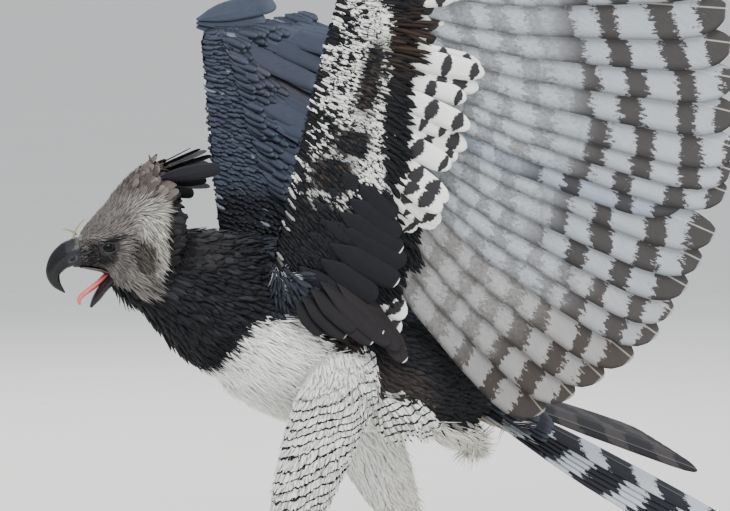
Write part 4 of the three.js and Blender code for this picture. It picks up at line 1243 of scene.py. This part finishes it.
great_paint = spotted("great_coverts", (0.57, 0.83), srgb(48, 46, 48), 0.074)
flecked = FeatherPaint("flecked_coverts")
fleck = flecked.speckle(0.42, 0.2, 90, 2.0, 0.7) + (flecked.chance - 0.5) * 0.22
flecked_white = flecked.tinted(0.7 + flecked.barbs * 0.4)
flecked.finish(flecked.mix(fleck.over(0.53, 0.58), flecked_white, srgb(30, 31, 35)))
scale_paint = FeatherPaint("scale_coverts")
scaled = scale_paint.tinted(0.5 + scale_paint.barbs * 0.7 + scale_paint.chance * 0.2)
scale_paint.finish(scale_paint.mix(scale_paint.along.over(0.8, 0.97) * 0.28, scaled, srgb(104, 112, 126)))
COVERT = [[0, 0.4], [0.35, 1], [0.8, 0.98], [0.93, 0.74], [0.98, 0.44], [1, 0.14]]


def to_ends(s, b):
    return along_line(s, GREAT_ENDS) - b


def ahead_of_strip(gap):
    return lambda s: along_line(s, STRIP) - gap


def behind_small(gap):
    return lambda s: along_line(s, BLACK_STRIP) + gap


def over_roots(s, b):
    """How much higher the small feathers stand where they lie over the roots of the great ones."""
    return 4.0 * smooth(-22, 4, b - along_line(s, STRIP) + 20)


def above_small(s, b):
    return over_roots(s, b) + 2.2


for number, wing in enumerate(WINGS):
    end = wing.span + KNUCKLE + HAND - 6
    side, seed = wing.name, 50 + 10 * number
    coverts(
        f"great_under_{side}", wing, "under", [(-20, end, 13, ahead_of_strip(20))],
        to_ends, lambda s, b: np.interp(s, [340, 530], [13.5, 10]), 0.1, fine(COVERT, 9),
        great_paint, "wing_feather", WHITE, seed, thick=0.5, camber=0.25, **BROAD,
    )
    coverts(
        f"strip_under_{side}", wing, "under", [(30, end, 3.2, behind_small(gap)) for gap in (-5, 0, 5, 10)],
        strip_length, 2.4, 0.2, PLUME,
        plumage, "dark_feather", black_with_brown, seed + 1, lift=above_small, stray=0.9, camber=0.5,
    )
    small_rows = [(-20, end, 4.6, between(wing, share, BLACK_STRIP)) for share in np.linspace(0, 1, 25)]
    coverts(
        f"small_under_{side}", wing, "under", small_rows, 15, 2.6, 0.14, PLUME,
        flecked, "pale_feather", under_colour, seed + 2, lift=over_roots, camber=0.7,
    )
    coverts(
        f"great_upper_{side}", wing, "upper",
        [(70, end, 14, ahead_of_strip(26)), (70, end, 12, ahead_of_strip(50))],
        lambda s, b: to_ends(s, b) * 0.96, lambda s, b: np.interp(s, [340, 530], [13.5, 9]), 0.08,
        fine(COVERT, 8), scale_paint, "dark_feather", slate_upper, seed + 3, thick=0.4, camber=0.12, **BROAD,
    )
    middle_rows = [(30, end, 7, ahead_of_strip(gap)) for gap in (58, 49, 40, 31, 22, 13, 4, -5, -12)]
    coverts(
        f"middle_upper_{side}", wing, "upper", middle_rows, 26, 6, 0.1, fine(COVERT, 6),
        scale_paint, "dark_feather", slate_upper, seed + 5, lift=3.5, thick=0.35, camber=0.12,
    )
    small_line = [[s, b - 30] for s, b in STRIP]
    small_rows = [(-26, end, 6, between(wing, share, small_line)) for share in np.linspace(0, 1, 17)]
    coverts(
        f"small_upper_{side}", wing, "upper", small_rows, lambda s, b: 14 + 0.14 * np.maximum(b, 0),
        4.0, 0.12, SCALE, scale_paint, "dark_feather", slate_upper, seed + 4, camber=0.2,
    )


# The black feathers of the armpit and shoulder: soft broad blades that fan out from under the wing's root,
# and longer ones that hang back from the shoulder over the flank, some with a thin white crescent at the tip.
# With them come the thumb's own three stiff feathers, the alula, which lie along the hand.
AXILLARIES = [
    # s, b, turn in towards the body in degrees, length
    (128, 30, 40, 56), (118, 52, 36, 58), (108, 18, 30, 80), (100, 44, 30, 76), (88, 8, 26, 98),
    (82, 36, 24, 88), (70, 16, 22, 106), (64, 44, 22, 86), (52, 6, 20, 112), (44, 32, 22, 96),
    (34, 0, 24, 102), (24, 26, 28, 84), (12, 4, 34, 86), (2, 28, 40, 74),
]
SCAPULARS = [
    # root and tip of those on the left, which the right ones mirror
    ((-134, -101, 420), (-98, -106, 384)), ((-127, -103, 424), (-72, -112, 380)),
    ((-116, -104, 432), (-62, -116, 388)), ((-114, -105, 428), (-40, -116, 372)),
    ((-104, -104, 440), (-28, -116, 380)), ((-102, -106, 436), (-18, -117, 370)),
    ((-86, -103, 444), (-5, -115, 363)), ((-63, -98, 434), (3, -107, 357)),
    ((-74, -101, 453), (5, -111, 347)),
]
ALULA = 3  # feathers on each thumb
soft_black = FeatherPaint("long_black_feathers")
# The fine streaks of light along each vane (the speckle term) are a painted sheen; the barbs' grain is their
# own.
tone = 0.5 + soft_black.barbs * 0.6 + soft_black.speckle(0.5, 0.04, 50) * 0.6
crescent = soft_black.from_tip.over(2.4, 1.2) * soft_black.chance.over(0.8, 0.81)
soft_black.finish(soft_black.mix(crescent, soft_black.tinted(tone), srgb(214, 214, 210)), 0.4)
for wing in WINGS:
    s, b, inward, long = np.array(AXILLARIES, float).T
    inward = np.radians(inward)[:, None]
    way = wing.c * np.cos(inward) - wing.a * np.sin(inward)
    root = wing.at(s, b, -(wing.depth(s, b) + 1.0))
    mesh = blades(
        f"axillaries_{wing.name}", wing.flip(root), wing.flip(unit(way - wing.n * 0.06)),
        wing.flip(-wing.n)[None], long, 15, 15, fine(VANE, 16), thick=0.7, camber=0.35, curl=-0.05, ridge=0.4,
        sag=wing.sag_from(root, -1), colour=BLACK, bake=np.stack([(s + 10) / 300, (b + 10) / 140], -1),
        seed=131, **LONG,
    )
    piece(mesh, soft_black, "dark_feather")

    root, tip = np.array(SCAPULARS, float).transpose(1, 0, 2)
    way = tip - root
    long = np.linalg.norm(way, axis=1)
    out = unit(np.array([0.1, -1, 0.35]) + 0 * root)
    tone = blend(np.linspace(0.1, 0.5, len(root)), BLACK, srgb(44, 38, 37))
    root, way, out = (wing.flip(vectors) for vectors in (root, way, out))
    mesh = blades(
        f"scapulars_{wing.name}", root, way, out, long, 14, 14, fine(VANE, 16), thick=0.7, camber=0.45,
        curl=-0.06, ridge=0.4, colour=tone,
        bake=np.stack([np.linspace(0.1, 0.8, len(root)), np.full(len(root), 0.5)], -1), seed=132, **LONG,
    )
    piece(mesh, soft_black, "dark_feather")

    beyond, ahead, turn = wing.thumb
    turn = math.radians(turn)
    along = wing.a * math.cos(turn) + wing.c * math.sin(turn)
    across = wing.a * math.sin(turn) - wing.c * math.cos(turn)
    k = np.arange(ALULA)[:, None]
    wrist = SHOULDER + wing.a * (wing.span + beyond) - wing.c * ahead + wing.n * 4
    root = wrist + across * (3 - 4 * k) + wing.n * (2.6 - 2.6 * k)
    lead, trail = (9, 17) if wing.side < 0 else (17, 9)
    mesh = blades(
        f"alula_feathers_{wing.name}", wing.flip(root), wing.flip(along - across * 0.1 * k),
        wing.flip(wing.n)[None], 122 - 20 * k[:, 0], lead, trail, fine(VANE, 20), thick=0.7, ridge=0.8,
        camber=0.1, colour=srgb(62, 69, 82), bake=np.hstack([k / ALULA, 0 * k]), bake_size=[0.3, 0.95],
        seed=133, **STIFF,
    )
    piece(mesh, scale_paint, "wing_feather")


# The tail: twelve broad barred feathers, the left six close together and the right six apart and higher, as
# closed blades fanned out from one root. Slate coverts lap over their roots above, and pale ones below.
TAIL_STRIP = [
    (0, 0.8), (0.01, 0), (0.115, 0), (0.127, 1), (0.207, 1), (0.222, 0), (0.33, 0), (0.342, 1), (0.418, 1),
    (0.433, 0), (0.54, 0), (0.552, 1), (0.628, 1), (0.643, 0), (0.75, 0), (0.76, 1), (0.835, 1), (0.85, 0),
    (1, 0),
]
TAIL_HALVES = {
    # side, the under face's and the upper face's pale and dark
    "left": (-1, srgb(190, 196, 202), srgb(40, 40, 44), srgb(184, 190, 196), srgb(30, 31, 37)),
    # The right half is much darker than the left on both faces: its faint bars are its own, and the darkness
    # over them is painted shade on the far, higher feathers.
    "right": (1, srgb(92, 86, 84), srgb(34, 32, 34), srgb(66, 61, 61), srgb(30, 29, 32)),
}
k = np.arange(6.0)
for name, (side_of, *colours) in TAIL_HALVES.items():
    unmarbled = (TAIL_LENGTH + 105, TAIL_LENGTH + 205)
    tail_paint = barred(
        f"tail_{name}", TAIL_STRIP, TAIL_LENGTH, *colours, marbled=unmarbled, wander=16, broken=1.1,
    )
    yaw = np.radians(1 - 1.5 * k if side_of < 0 else 14.5 + 0.9 * k)[:, None]
    along = TAIL_BACK * np.cos(yaw) + TAIL_ACROSS * np.sin(yaw)
    root = on_tail(0 * k, side_of * (2 + 4.2 * k), -1.15 * (2 * k + (side_of > 0)))
    length = TAIL_LENGTH - 9 * k - (26 if side_of > 0 else 0)
    right_lead = 15 if side_of > 0 else 27
    mesh = blades(
        f"tail_feathers_{name}", root, along, TAIL_OUT[None], length, right_lead, 42 - right_lead,
        fine(VANE, 34), thick=0.8, camber=0.12, curl=-0.015, ridge=1.2, colour=np.ones(3),
        bake=np.stack([k / 6, 0 * k], -1), bake_size=[0.15, 0.98], seed=81 + side_of, **STIFF,
    )
    piece(mesh, tail_paint, "wing_feather")

TAIL_ROWS, PER_ROW = 5, 11
rng = np.random.default_rng(82)
for label, face, up, paint, slot in (
    ("upper", 1, 8, scale_paint, "dark_feather"), ("under", -1, -21, plumage, "pale_feather"),
):
    row, place = np.divmod(np.arange(TAIL_ROWS * PER_ROW), PER_ROW)
    across = (place - (PER_ROW - 1) / 2) / ((PER_ROW - 1) / 2) + rng.normal(0, 0.03, len(place))
    yaw = np.radians(3 + 11 * across)[:, None]
    along = TAIL_BACK * np.cos(yaw) + TAIL_ACROSS * np.sin(yaw)
    height = up - face * (row * -2.2) - face * 9 * across ** 2
    root = on_tail(24 - row * 16, 22 * across, height)
    colour = srgb(40, 42, 49) if face > 0 else blend(rng.random(len(row)) * 0.4, CREAM, BROWN)
    mesh = blades(
        f"tail_coverts_{label}", root, along, TAIL_OUT[None] * face, 84 - 6 * row - 12 * np.abs(across),
        10, 10, fine(COVERT, 8), thick=0.5, camber=0.3, curl=-0.04, colour=colour,
        bake=np.stack([0.1 + 0.8 * place / PER_ROW, 0.1 + 0.8 * row / TAIL_ROWS], -1), seed=83 + up, **BROAD,
    )
    piece(mesh, paint, slot)


# The head: ash-grey, with short feathers on the face, a streaked ruff round it, rounded feathers on the crown
# and a crest of long black ones that stand up behind it. All but the crest grow from the skin.
def head_way(forward, left, up):
    """Ways given as forward, left and up of the head, of which any may be one number for all."""
    return np.stack(np.broadcast_arrays(forward, left, up), -1) @ HEAD_AXES


def on_face(roots):
    """Turns the way of the feathers: away from the bill on the face, down and back over the ruff."""
    forward, left, up = roots.on_head()
    down = smooth(-14, -36, forward) * smooth(56, 30, up)
    rising = (up - 2) / 38 * (1 - down) - 1.25 * down
    roots.flow = unit(head_way(-1 + 0.35 * down, np.sign(left) * 0.15, rising))
    return forward, left, up


def face_colour(forward, up, rng):
    """Ash, streaked and paler on the ruff, with a dark smudge behind the eye, dark lores and a painted shadow
    along the brow ridge.
    """
    chance = rng.random(len(forward))
    streak = np.clip(rng.normal(0, 1, len(forward)), -2, 2)[:, None]
    ruffed = smooth(-10, -40, forward) * smooth(64, 44, up)
    colour = blend(ruffed * 0.85, srgb(108, 103, 100), srgb(176, 172, 166))
    colour = blend(smooth(40, 62, up) * 0.8, colour, srgb(74, 67, 64))
    colour = colour * (1 + streak * (0.16 + 0.14 * smooth(4, -22, forward)[:, None]))
    smudge = oval(forward, up, (-31, -1), (12, 21), 2)
    smudge = np.maximum(smudge, 0.6 * oval(forward, up, (-36, -32), (14, 15)))
    colour = blend(np.clip(smudge * 1.4, 0, 0.96) * (0.75 + 0.25 * chance), colour, srgb(30, 24, 21))
    lore = oval(forward, up + 0.12 * (forward - 18), (18, -9), (23, 12), 1.1)
    # brow: painted shadow along the overhanging brow ridge above the eye, darkened like the lores
    brow = oval(forward, up + 0.3 * forward, (3, 7.5), (18, 4.6), 1.5)
    lore = np.maximum(lore * (0.72 + 0.4 * (chance < 0.8)), brow)
    colour = blend(np.clip(lore * 1.3, 0, 0.96), colour, srgb(20, 21, 25))
    return blend(smooth(-50, -60, forward), colour, srgb(26, 26, 29))


head_skin = on_head_skin & (head_place(skin_points)[:, 0] < 31)
BARE_ROUND_EYE = [8.8, 6.9]  # half the length and height of the skin that no feather grows on
off_eye = np.linalg.norm(head_place(skin_points)[:, [0, 2]] / BARE_ROUND_EYE, axis=1)
face = Roots(head_skin & (off_eye > 1), 2.1, 21)
forward, left, up = on_face(face)
grown = smooth(34, -20, forward)
mesh = face.grow(
    "face_feathers", 6 + 9 * grown, 0.9 + 0.5 * grown, 0.3, 0.12, WISP, face_colour(forward, up, face.rng),
    curl=-0.08, sink=0.4, thick=0.35, camber=0.6,
)
piece(mesh, plumage, "ash_feather")

# The ruff: longer feathers that stand out round the rim of the face
ruff = Roots(head_skin, 2.6, 22)
forward, left, up = ruff.on_head()
face_rim = -42 + 24 * smooth(10, -58, up)
ruff.keep((np.abs(forward - face_rim + 5) < 13) & (up < 74))
forward, left, up = on_face(ruff)
ruff.flow = unit(ruff.flow + head_way(-0.4, np.sign(left) * 0.75, 0) * 0.5)
mesh = ruff.grow(
    "ruff", 20 + 14 * smooth(-16, -50, up), 1.3, 0.34, 0.09, WISP, face_colour(forward, up, ruff.rng),
    curl=-0.16, sink=1, thick=0.4, camber=0.6,
)
piece(mesh, plumage, "ash_feather")

crown = Roots(head_skin, 6.2, 23)
forward, left, up = crown.on_head()
crown.keep((up > 50) & (forward < -2) & (forward > -66))
forward, left, up = crown.on_head()
crown.flow = unit(head_way(-0.75, np.sign(left) * 0.1, 0.75))
tone = blend(crown.rng.random(len(up)), srgb(58, 52, 49), srgb(112, 102, 96))
mesh = crown.grow(
    "crown", 17 + 12 * smooth(0, -50, forward), 5.4, 0.24, 0.14, fine(COVERT, 7), tone,
    thick=0.4, camber=0.22, curl=-0.08, **BROAD,
)
piece(mesh, plumage, "ash_feather")

CREST = [
    # side, forward, up, rise, length, half-width, roll in degrees
    (0.0, -46, 86, 24, 56, 5, 8),
    (0.3, -48, 85, 21, 64, 5.5, 24),
    (-0.3, -48, 84, 18, 60, 5.5, -18),
    (0.62, -52, 81, 16, 70, 9, 24),
    (-0.62, -52, 81, 20, 70, 9, -14),
    (1.25, -54, 76, 9, 74, 11, 58),
    (-1.25, -54, 76, 12, 70, 9, -26),
    (0.34, -58, 70, 2, 56, 10, 34),
    (1.0, -58, 64, -8, 40, 10, 44),
    (-0.4, -58, 68, -3, 62, 9.5, -20),
    (-1.0, -58, 64, -10, 44, 9.5, -40),
]
side, forward, up, rise, length, half, roll = np.array(CREST).T
rise, roll = np.radians(rise), np.radians(roll)
along = unit(np.stack([-np.cos(rise), side * 0.14, np.sin(rise)], -1))
level = unit(np.cross(np.cross(along, [0, 1, 0]), along))
out = np.cross(along, level) * np.cos(roll)[:, None] + level * np.sin(roll)[:, None]
tone = np.where((length > 72)[:, None], srgb(36, 36, 41), srgb(14, 15, 18))
mesh = blades(
    "crest_feathers", on_head(np.stack([forward, side * 16, up], -1)), along @ HEAD_AXES, out @ HEAD_AXES,
    length, half, half, fine(VANE, 20), thick=0.6, camber=0.2, curl=-0.03, ridge=0.8, colour=tone,
    bake=np.stack([np.arange(len(CREST)) / len(CREST), 0 * up], -1), bake_size=[0.085, 0.98], seed=24,
    **STIFF,
)
piece(mesh, plumage, "dark_feather", "crest")

# Hackles: loose dark feathers that lap from the nape over the neck
nape = Roots((skin_names == "neck") | on_head_skin, 5.6, 25)
forward, _, _ = nape.on_head()
nape.keep((forward < -56) & (forward > -125) & (nape.point[:, 2] > 455))
nape.flow = unit(nape.flow + [0.2, 0, 0.12])
tone = blend(nape.rng.random(len(nape)), srgb(17, 17, 20), srgb(40, 38, 40))
mesh = nape.grow(
    "hackles", 27, 4.6, 0.3, 0.16, fine(SCALE, 7), tone, thick=0.4, camber=0.2, curl=-0.1, **BROAD,
)
piece(mesh, plumage, "dark_feather")


# The eyes: smooth wet balls, a black pupil in a very dark iris, each in a ring of bare wrinkled lid. The lid
# is bridged from hoops, out over the ball and back inside it, so that it is closed.
head_matrix = Matrix((HEAD_AXES.T * MM).tolist()).to_4x4()
head_matrix.translation = Vector(metres(HEAD))
iris = Paint("eye", roughness=0.05, specular_ior_level=0.16)
iris.set(base_color=iris.tint())
lid = Paint("lid", roughness=0.5)
wrinkles = lid.noise(1400, detail=3.0)
lid.set(
    base_color=lid.mix(wrinkles, srgb(14, 15, 17), srgb(34, 34, 38)),
    normal=lid.bump(wrinkles, 0.8, 0.0006),
)
LID_GAP = 7.6, 4.7  # half the length and height of the opening between the lids
LID_STEPS = np.linspace(0, 1, 9)
PUPIL = 3.6, 4.4  # where its rim starts and ends


def set_in_head(bm, side):
    """Moves an eye's part from round its own middle to its place in the head."""
    bmesh.ops.translate(bm, vec=(0, side * EYE_SIDE, 0), verts=bm.verts)
    bmesh.ops.transform(bm, matrix=head_matrix, verts=bm.verts)


for name, side in (("left", 1), ("right", -1)):
    bm = bmesh.new()
    bmesh.ops.create_uvsphere(bm, u_segments=40, v_segments=28, radius=EYE_RADIUS)
    bmesh.ops.rotate(bm, matrix=Matrix.Rotation(-side * math.pi / 2, 3, "X"), verts=bm.verts)
    off_axis = [math.hypot(corner.co.x, corner.co.z) for corner in bm.verts]
    set_in_head(bm, side)
    mesh = mesh_of("eyeball_" + name, bm)
    tint(mesh, blend(smooth(*PUPIL, np.array(off_axis)), srgb(4, 4, 5), srgb(14, 10, 9)))
    piece(mesh, iris, "eye", "eye_" + name)

    bm = bmesh.new()
    hoops = []
    outside = [(EYE_RADIUS + 0.9, share) for share in LID_STEPS]
    inside = [(EYE_RADIUS - 0.4, share) for share in LID_STEPS[::-1]]
    for shell, wide in outside + inside:
        hoop = bmesh.ops.create_circle(bm, segments=56, radius=1)["verts"]
        hoops.append(list({edge for corner in hoop for edge in corner.link_edges}))
        for corner in hoop:
            around = math.atan2(corner.co.y, corner.co.x)
            gap = 1 / math.hypot(math.cos(around) / LID_GAP[0], math.sin(around) / LID_GAP[1])
            opening = math.asin(min(0.98, gap / shell))
            angle = opening + (math.radians(82) - opening) * wide
            fold = 0.35 * math.sin(wide * 14) * math.sin(wide * math.pi)
            flat = (shell + fold) * math.sin(angle)
            outward = side * (shell + fold) * math.cos(angle)
            corner.co = (flat * math.cos(around), outward, flat * math.sin(around) + 0.3)
    for first, second in zip(hoops, hoops[1:] + hoops[:1]):
        bmesh.ops.bridge_loops(bm, edges=first + second)
    set_in_head(bm, side)
    piece(mesh_of("lid_" + name, bm), lid, "horn")


# The bill: black horn, hooked, with a swollen grey cere at its root and an oval nostril in each side of it.
# Each half is one closed tube from inside the head to its tip.
UPPER_BILL = {
    "path": [[30, 0, -6], [36, 0, -7], [44, 0, -9], [54, 0, -17], [60, 0, -29], [57, 0, -41], [47, 0, -52]],
    "sizes": [[14, 17.5], [13.6, 16.8], [12.4, 14.6], [10.2, 12], [7.4, 8.6], [4.6, 5.4], [0.6, 0.8]],
}
LOWER_BILL = {
    "path": [[-10, 0, -33], [2, 0, -46], [11, 0, -58], [18, 0, -69]],
    "sizes": [[16.5, 6], [13.6, 5.4], [9.6, 4.8], [2.8, 1.5]],
}
TONGUE = {
    "path": [[-4, 0, -29], [8, 0, -40], [20, 0, -49], [28, 0, -55.5], [31, 0, -61], [30, 0, -66]],
    "sizes": [[6, 3.4], [6.3, 3.3], [6, 3.2], [5.4, 3], [4, 2.6], [1.4, 1.3]],
}
NOSTRIL = {"forward": 39, "up": -13.5, "long": 3.6, "high": 2.0, "slant": math.radians(38)}


def head_tube(name, path, sizes, rings, sides, narrow=0.0):
    """A round body along a path that is given as forward, left and up of the eyes' middle."""
    bm = bmesh.new()
    tube(bm, on_head(path), sizes, side=HEAD_AXES[1], rings=rings, sides=sides, narrow=narrow)
    return mesh_of(name, bm)


horn = Paint("horn", roughness=0.24, coat_weight=0.12, specular_ior_level=0.3)
layers = horn.noise(1.0, horn.place((60, 60, 420)), 3.0)
horn.set(
    base_color=horn.shaded(horn.tint(), 0.75 + layers * 0.5),
    roughness=0.2 + layers * 0.16 + horn.attribute("soft")["Fac"] * 0.3,
    normal=horn.bump(layers, 0.25, 0.0003),
)
mesh = head_tube("upper_bill", **UPPER_BILL, rings=72, sides=56, narrow=0.34)
places = head_place(corners_of(mesh))
forward, left, up = places.T
slant = NOSTRIL["slant"]
ahead, above = forward - NOSTRIL["forward"], up - NOSTRIL["up"]
long_way = (ahead * math.cos(slant) - above * math.sin(slant)) / NOSTRIL["long"]
high_way = (ahead * math.sin(slant) + above * math.cos(slant)) / NOSTRIL["high"]
hole = np.exp(-(long_way ** 2 + high_way ** 2) ** 2)
cere = smooth(46.5, 44, forward - 0.12 * (up + 10))
swell = 0.7 * cere * np.sin(np.clip((forward - 30) / 15, 0, 1) * np.pi)
places[:, 1] += np.sign(left) * (swell - 2.6 * hole)
place_corners(mesh, on_head(places))
mesh.update()
colour = blend(cere, srgb(13, 14, 18), srgb(26, 28, 32))
pale_root = smooth(38, 33, forward) * smooth(-2, 6, up)
nostril_rim = np.exp(-((np.sqrt(long_way ** 2 + high_way ** 2) - 1.35) / 0.3) ** 2)
colour = blend(nostril_rim * 0.6, blend(pale_root * 0.4, colour, srgb(120, 118, 108)), srgb(84, 86, 90))
# The nostril's shallow dent is painted near-black: painted shade for the depth of the opening.
tint(mesh, blend(hole, colour, srgb(6, 6, 7)))
tint(mesh, cere[:, None], "soft")
piece(mesh, horn, "horn", "bill_upper")
mesh = head_tube("lower_bill", **LOWER_BILL, rings=32, sides=32)
tint(mesh, srgb(18, 19, 23))
tint(mesh, 0, "soft")
piece(mesh, horn, "horn", "bill_lower")

# The open mouth: wet pink tongue curled down at its tip, with a groove along it, between a roof and floor
# painted dark for the shade inside the mouth.
flesh = Paint("flesh", roughness=0.28, coat_weight=0.5, subsurface_weight=0.25, subsurface_scale=0.004)
pimples = flesh.noise(1500, detail=2.0)
flesh.set(
    base_color=flesh.shaded(flesh.tint(), 0.85 + pimples * 0.3),
    normal=flesh.bump(pimples, 0.5, 0.0004),
)
mesh = head_tube("curled_tongue", **TONGUE, rings=40, sides=28)
places = head_place(corners_of(mesh))
groove = np.exp(-(places[:, 1] / 1.6) ** 2)
places[:, 2] -= 0.9 * groove * smooth(6, 14, places[:, 0]) * smooth(29, 26, places[:, 0])
place_corners(mesh, on_head(places))
tint(mesh, blend(smooth(-4, 22, places[:, 0]), srgb(150, 52, 54), srgb(206, 104, 96)))
piece(mesh, flesh, "tongue", "tongue")
LINING = {
    "mouth_roof": {
        "path": [[30, 0, -23], [18, 0, -24.5], [4, 0, -27], [-8, 0, -32]],
        "sizes": [[8, 1.6], [11, 2.6], [13, 3.4], [12, 4]],
    },
    "mouth_floor": {
        "path": [[-9, 0, -31], [3, 0, -43], [12, 0, -55], [17, 0, -65]],
        "sizes": [[13, 3], [10.5, 3], [7, 2.6], [1.6, 1]],
    },
}
for name, shape in LINING.items():
    mesh = head_tube(name, **shape, rings=20, sides=20)
    # Near-black red lining: painted shade inside the open mouth.
    tint(mesh, srgb(36, 17, 19))
    piece(mesh, flesh, "tongue")

# Bristles between the eye and the bill, and two pale curled feathers that have come loose on the forehead
lores = Roots(head_skin, 2.3, 26)
forward, _, up = lores.on_head()
lores.keep((forward > 7) & (up < 9) & (up > -23))
lores.flow = unit(head_way(0.9, 0, -0.35) + 0 * lores.point)
tone = blend(lores.rng.random(len(lores)) ** 3, srgb(22, 22, 25), srgb(150, 146, 140))
mesh = lores.grow("bristles", 7, 0.22, 0.75, 0.3, WISP, tone, curl=-0.3, sink=0.5, thick=0.3)
piece(mesh, plumage, "dark_feather")

mesh = blades(
    "forehead_curls", on_head([[37, 5, 9], [33, -4, 13]]), head_way([0.2, 0.5], [0.1, 0.05], [1, 0.8]),
    head_way(1, 0, [0.1, 0.1]), [20, 14], 1.1, 1.1, fine(PLUME, 12), both_faces=True, thick=2.6,
    curl=[-0.8, 0.7], colour=srgb(150, 142, 112), bake=np.array([[0.2, 0.2], [0.6, 0.6]]),
)
piece(mesh, plumage, "pale_feather")


# The thighs: soft white feathers down to the shank, rooted in the skin like the body coat, and longer ones in
# a flap behind the thigh's top. The left one's have thin wavy black bars below the belly's down, and the
# right one's a few. The bars run on from feather to feather.
def barred_down(name, spacing, thick):
    """White feathers with bars that run on, spacing metres apart. thick is a bar's share of the spacing."""
    made = FeatherPaint(name)
    where = made.node("ShaderNodeSeparateXYZ", {}, made.place())
    wave = made.noise(22, detail=1.0)
    ripple = made.noise(170, detail=2.0)
    gaps = made.noise(260, detail=1.0)
    height = where["Z"] - where["X"] * 0.38 + made.chance * 0.0008
    height = height + (wave - 0.5) * 0.022 + (ripple - 0.5) * 0.007
    width = (gaps * 1.3 + 0.25) * thick
    stripe = (width - ((height / spacing).math("FRACT") - 0.5).math("ABSOLUTE")).over(0, thick * 0.4)
    white_now = made.tinted(0.7 + made.barbs * 0.3 + made.along * 0.12)
    made.finish(made.mix(stripe * made.attribute("barring")["Fac"], white_now, srgb(26, 26, 29)))
    return made


def nearly_white(roots):
    return WHITE * (1 + 0.05 * roots.rng.normal(0, 1, len(roots))[:, None])


thighs = Roots(growing & thigh, 3.8, 31)
tone = nearly_white(thighs)
mesh = thighs.grow("thigh_feathers", 24, 2.3, 0.32, 0.14, PLUME, tone, curl=-0.14, sink=1, camber=0.6)
x, y, z = corners_of(mesh).T
outer = smooth(-50, -70, y) + smooth(60, 90, y) * 0.3
below_down = np.maximum(smooth(322, 306, z - 0.32 * (x + 100)), smooth(-70, -40, x))
tint(mesh, (outer * below_down)[:, None], "barring")
piece(mesh, barred_down("thigh_feather", 0.0102, 0.15), "pale_feather")

flap = np.linalg.norm((both_sides - [4, 74, 292]) / [34, 26, 20], axis=1) < 1
trousers = Roots(body & flap, 4.2, 32)
trousers.flow = unit(np.array([0.5, 0, -0.8]) + 0.2 * trousers.flow)
mesh = trousers.grow("trousers", 60, 2.6, 0.26, 0.14, PLUME, nearly_white(trousers), camber=0.6)
tint(mesh, 1, "barring")
piece(mesh, barred_down("trouser_feather", 0.0115, 0.18), "pale_feather")


# The claws: heavy curved black horn, the hind one longest. Each is a closed tube that starts inside its toe
# and comes down to the floor at its tip.
CLAW_TAPER = np.array([[1, 1], [0.84, 0.9], [0.6, 0.66], [0.34, 0.38], [0.04, 0.04]])
for side, leg in LEGS.items():
    for name, (way, length, reach) in TOES.items():
        ahead = toe_way(side, way)
        start = np.array(leg["foot"]) * [1, 1, 0] + ahead * (PALM + length)
        base = 8.5 if name == "hind" else 6.5
        rise = reach * 0.2
        arc = [[-0.08, 10], [0.28, 11 + rise], [0.62, 9 + rise], [0.86, rise * 0.7], [0.97, 1.4]]
        path = [start + ahead * share * reach + UP * z for share, z in arc]
        bm = bmesh.new()
        tube(bm, path, base * CLAW_TAPER, side=np.cross(UP, ahead), rings=24, sides=20, narrow=0.2)
        mesh = mesh_of(f"talon_{name}_{side}", bm)
        tint(mesh, srgb(20, 21, 25))
        tint(mesh, 0, "soft")
        piece(mesh, horn, "horn", f"claw_{name}_{side}")
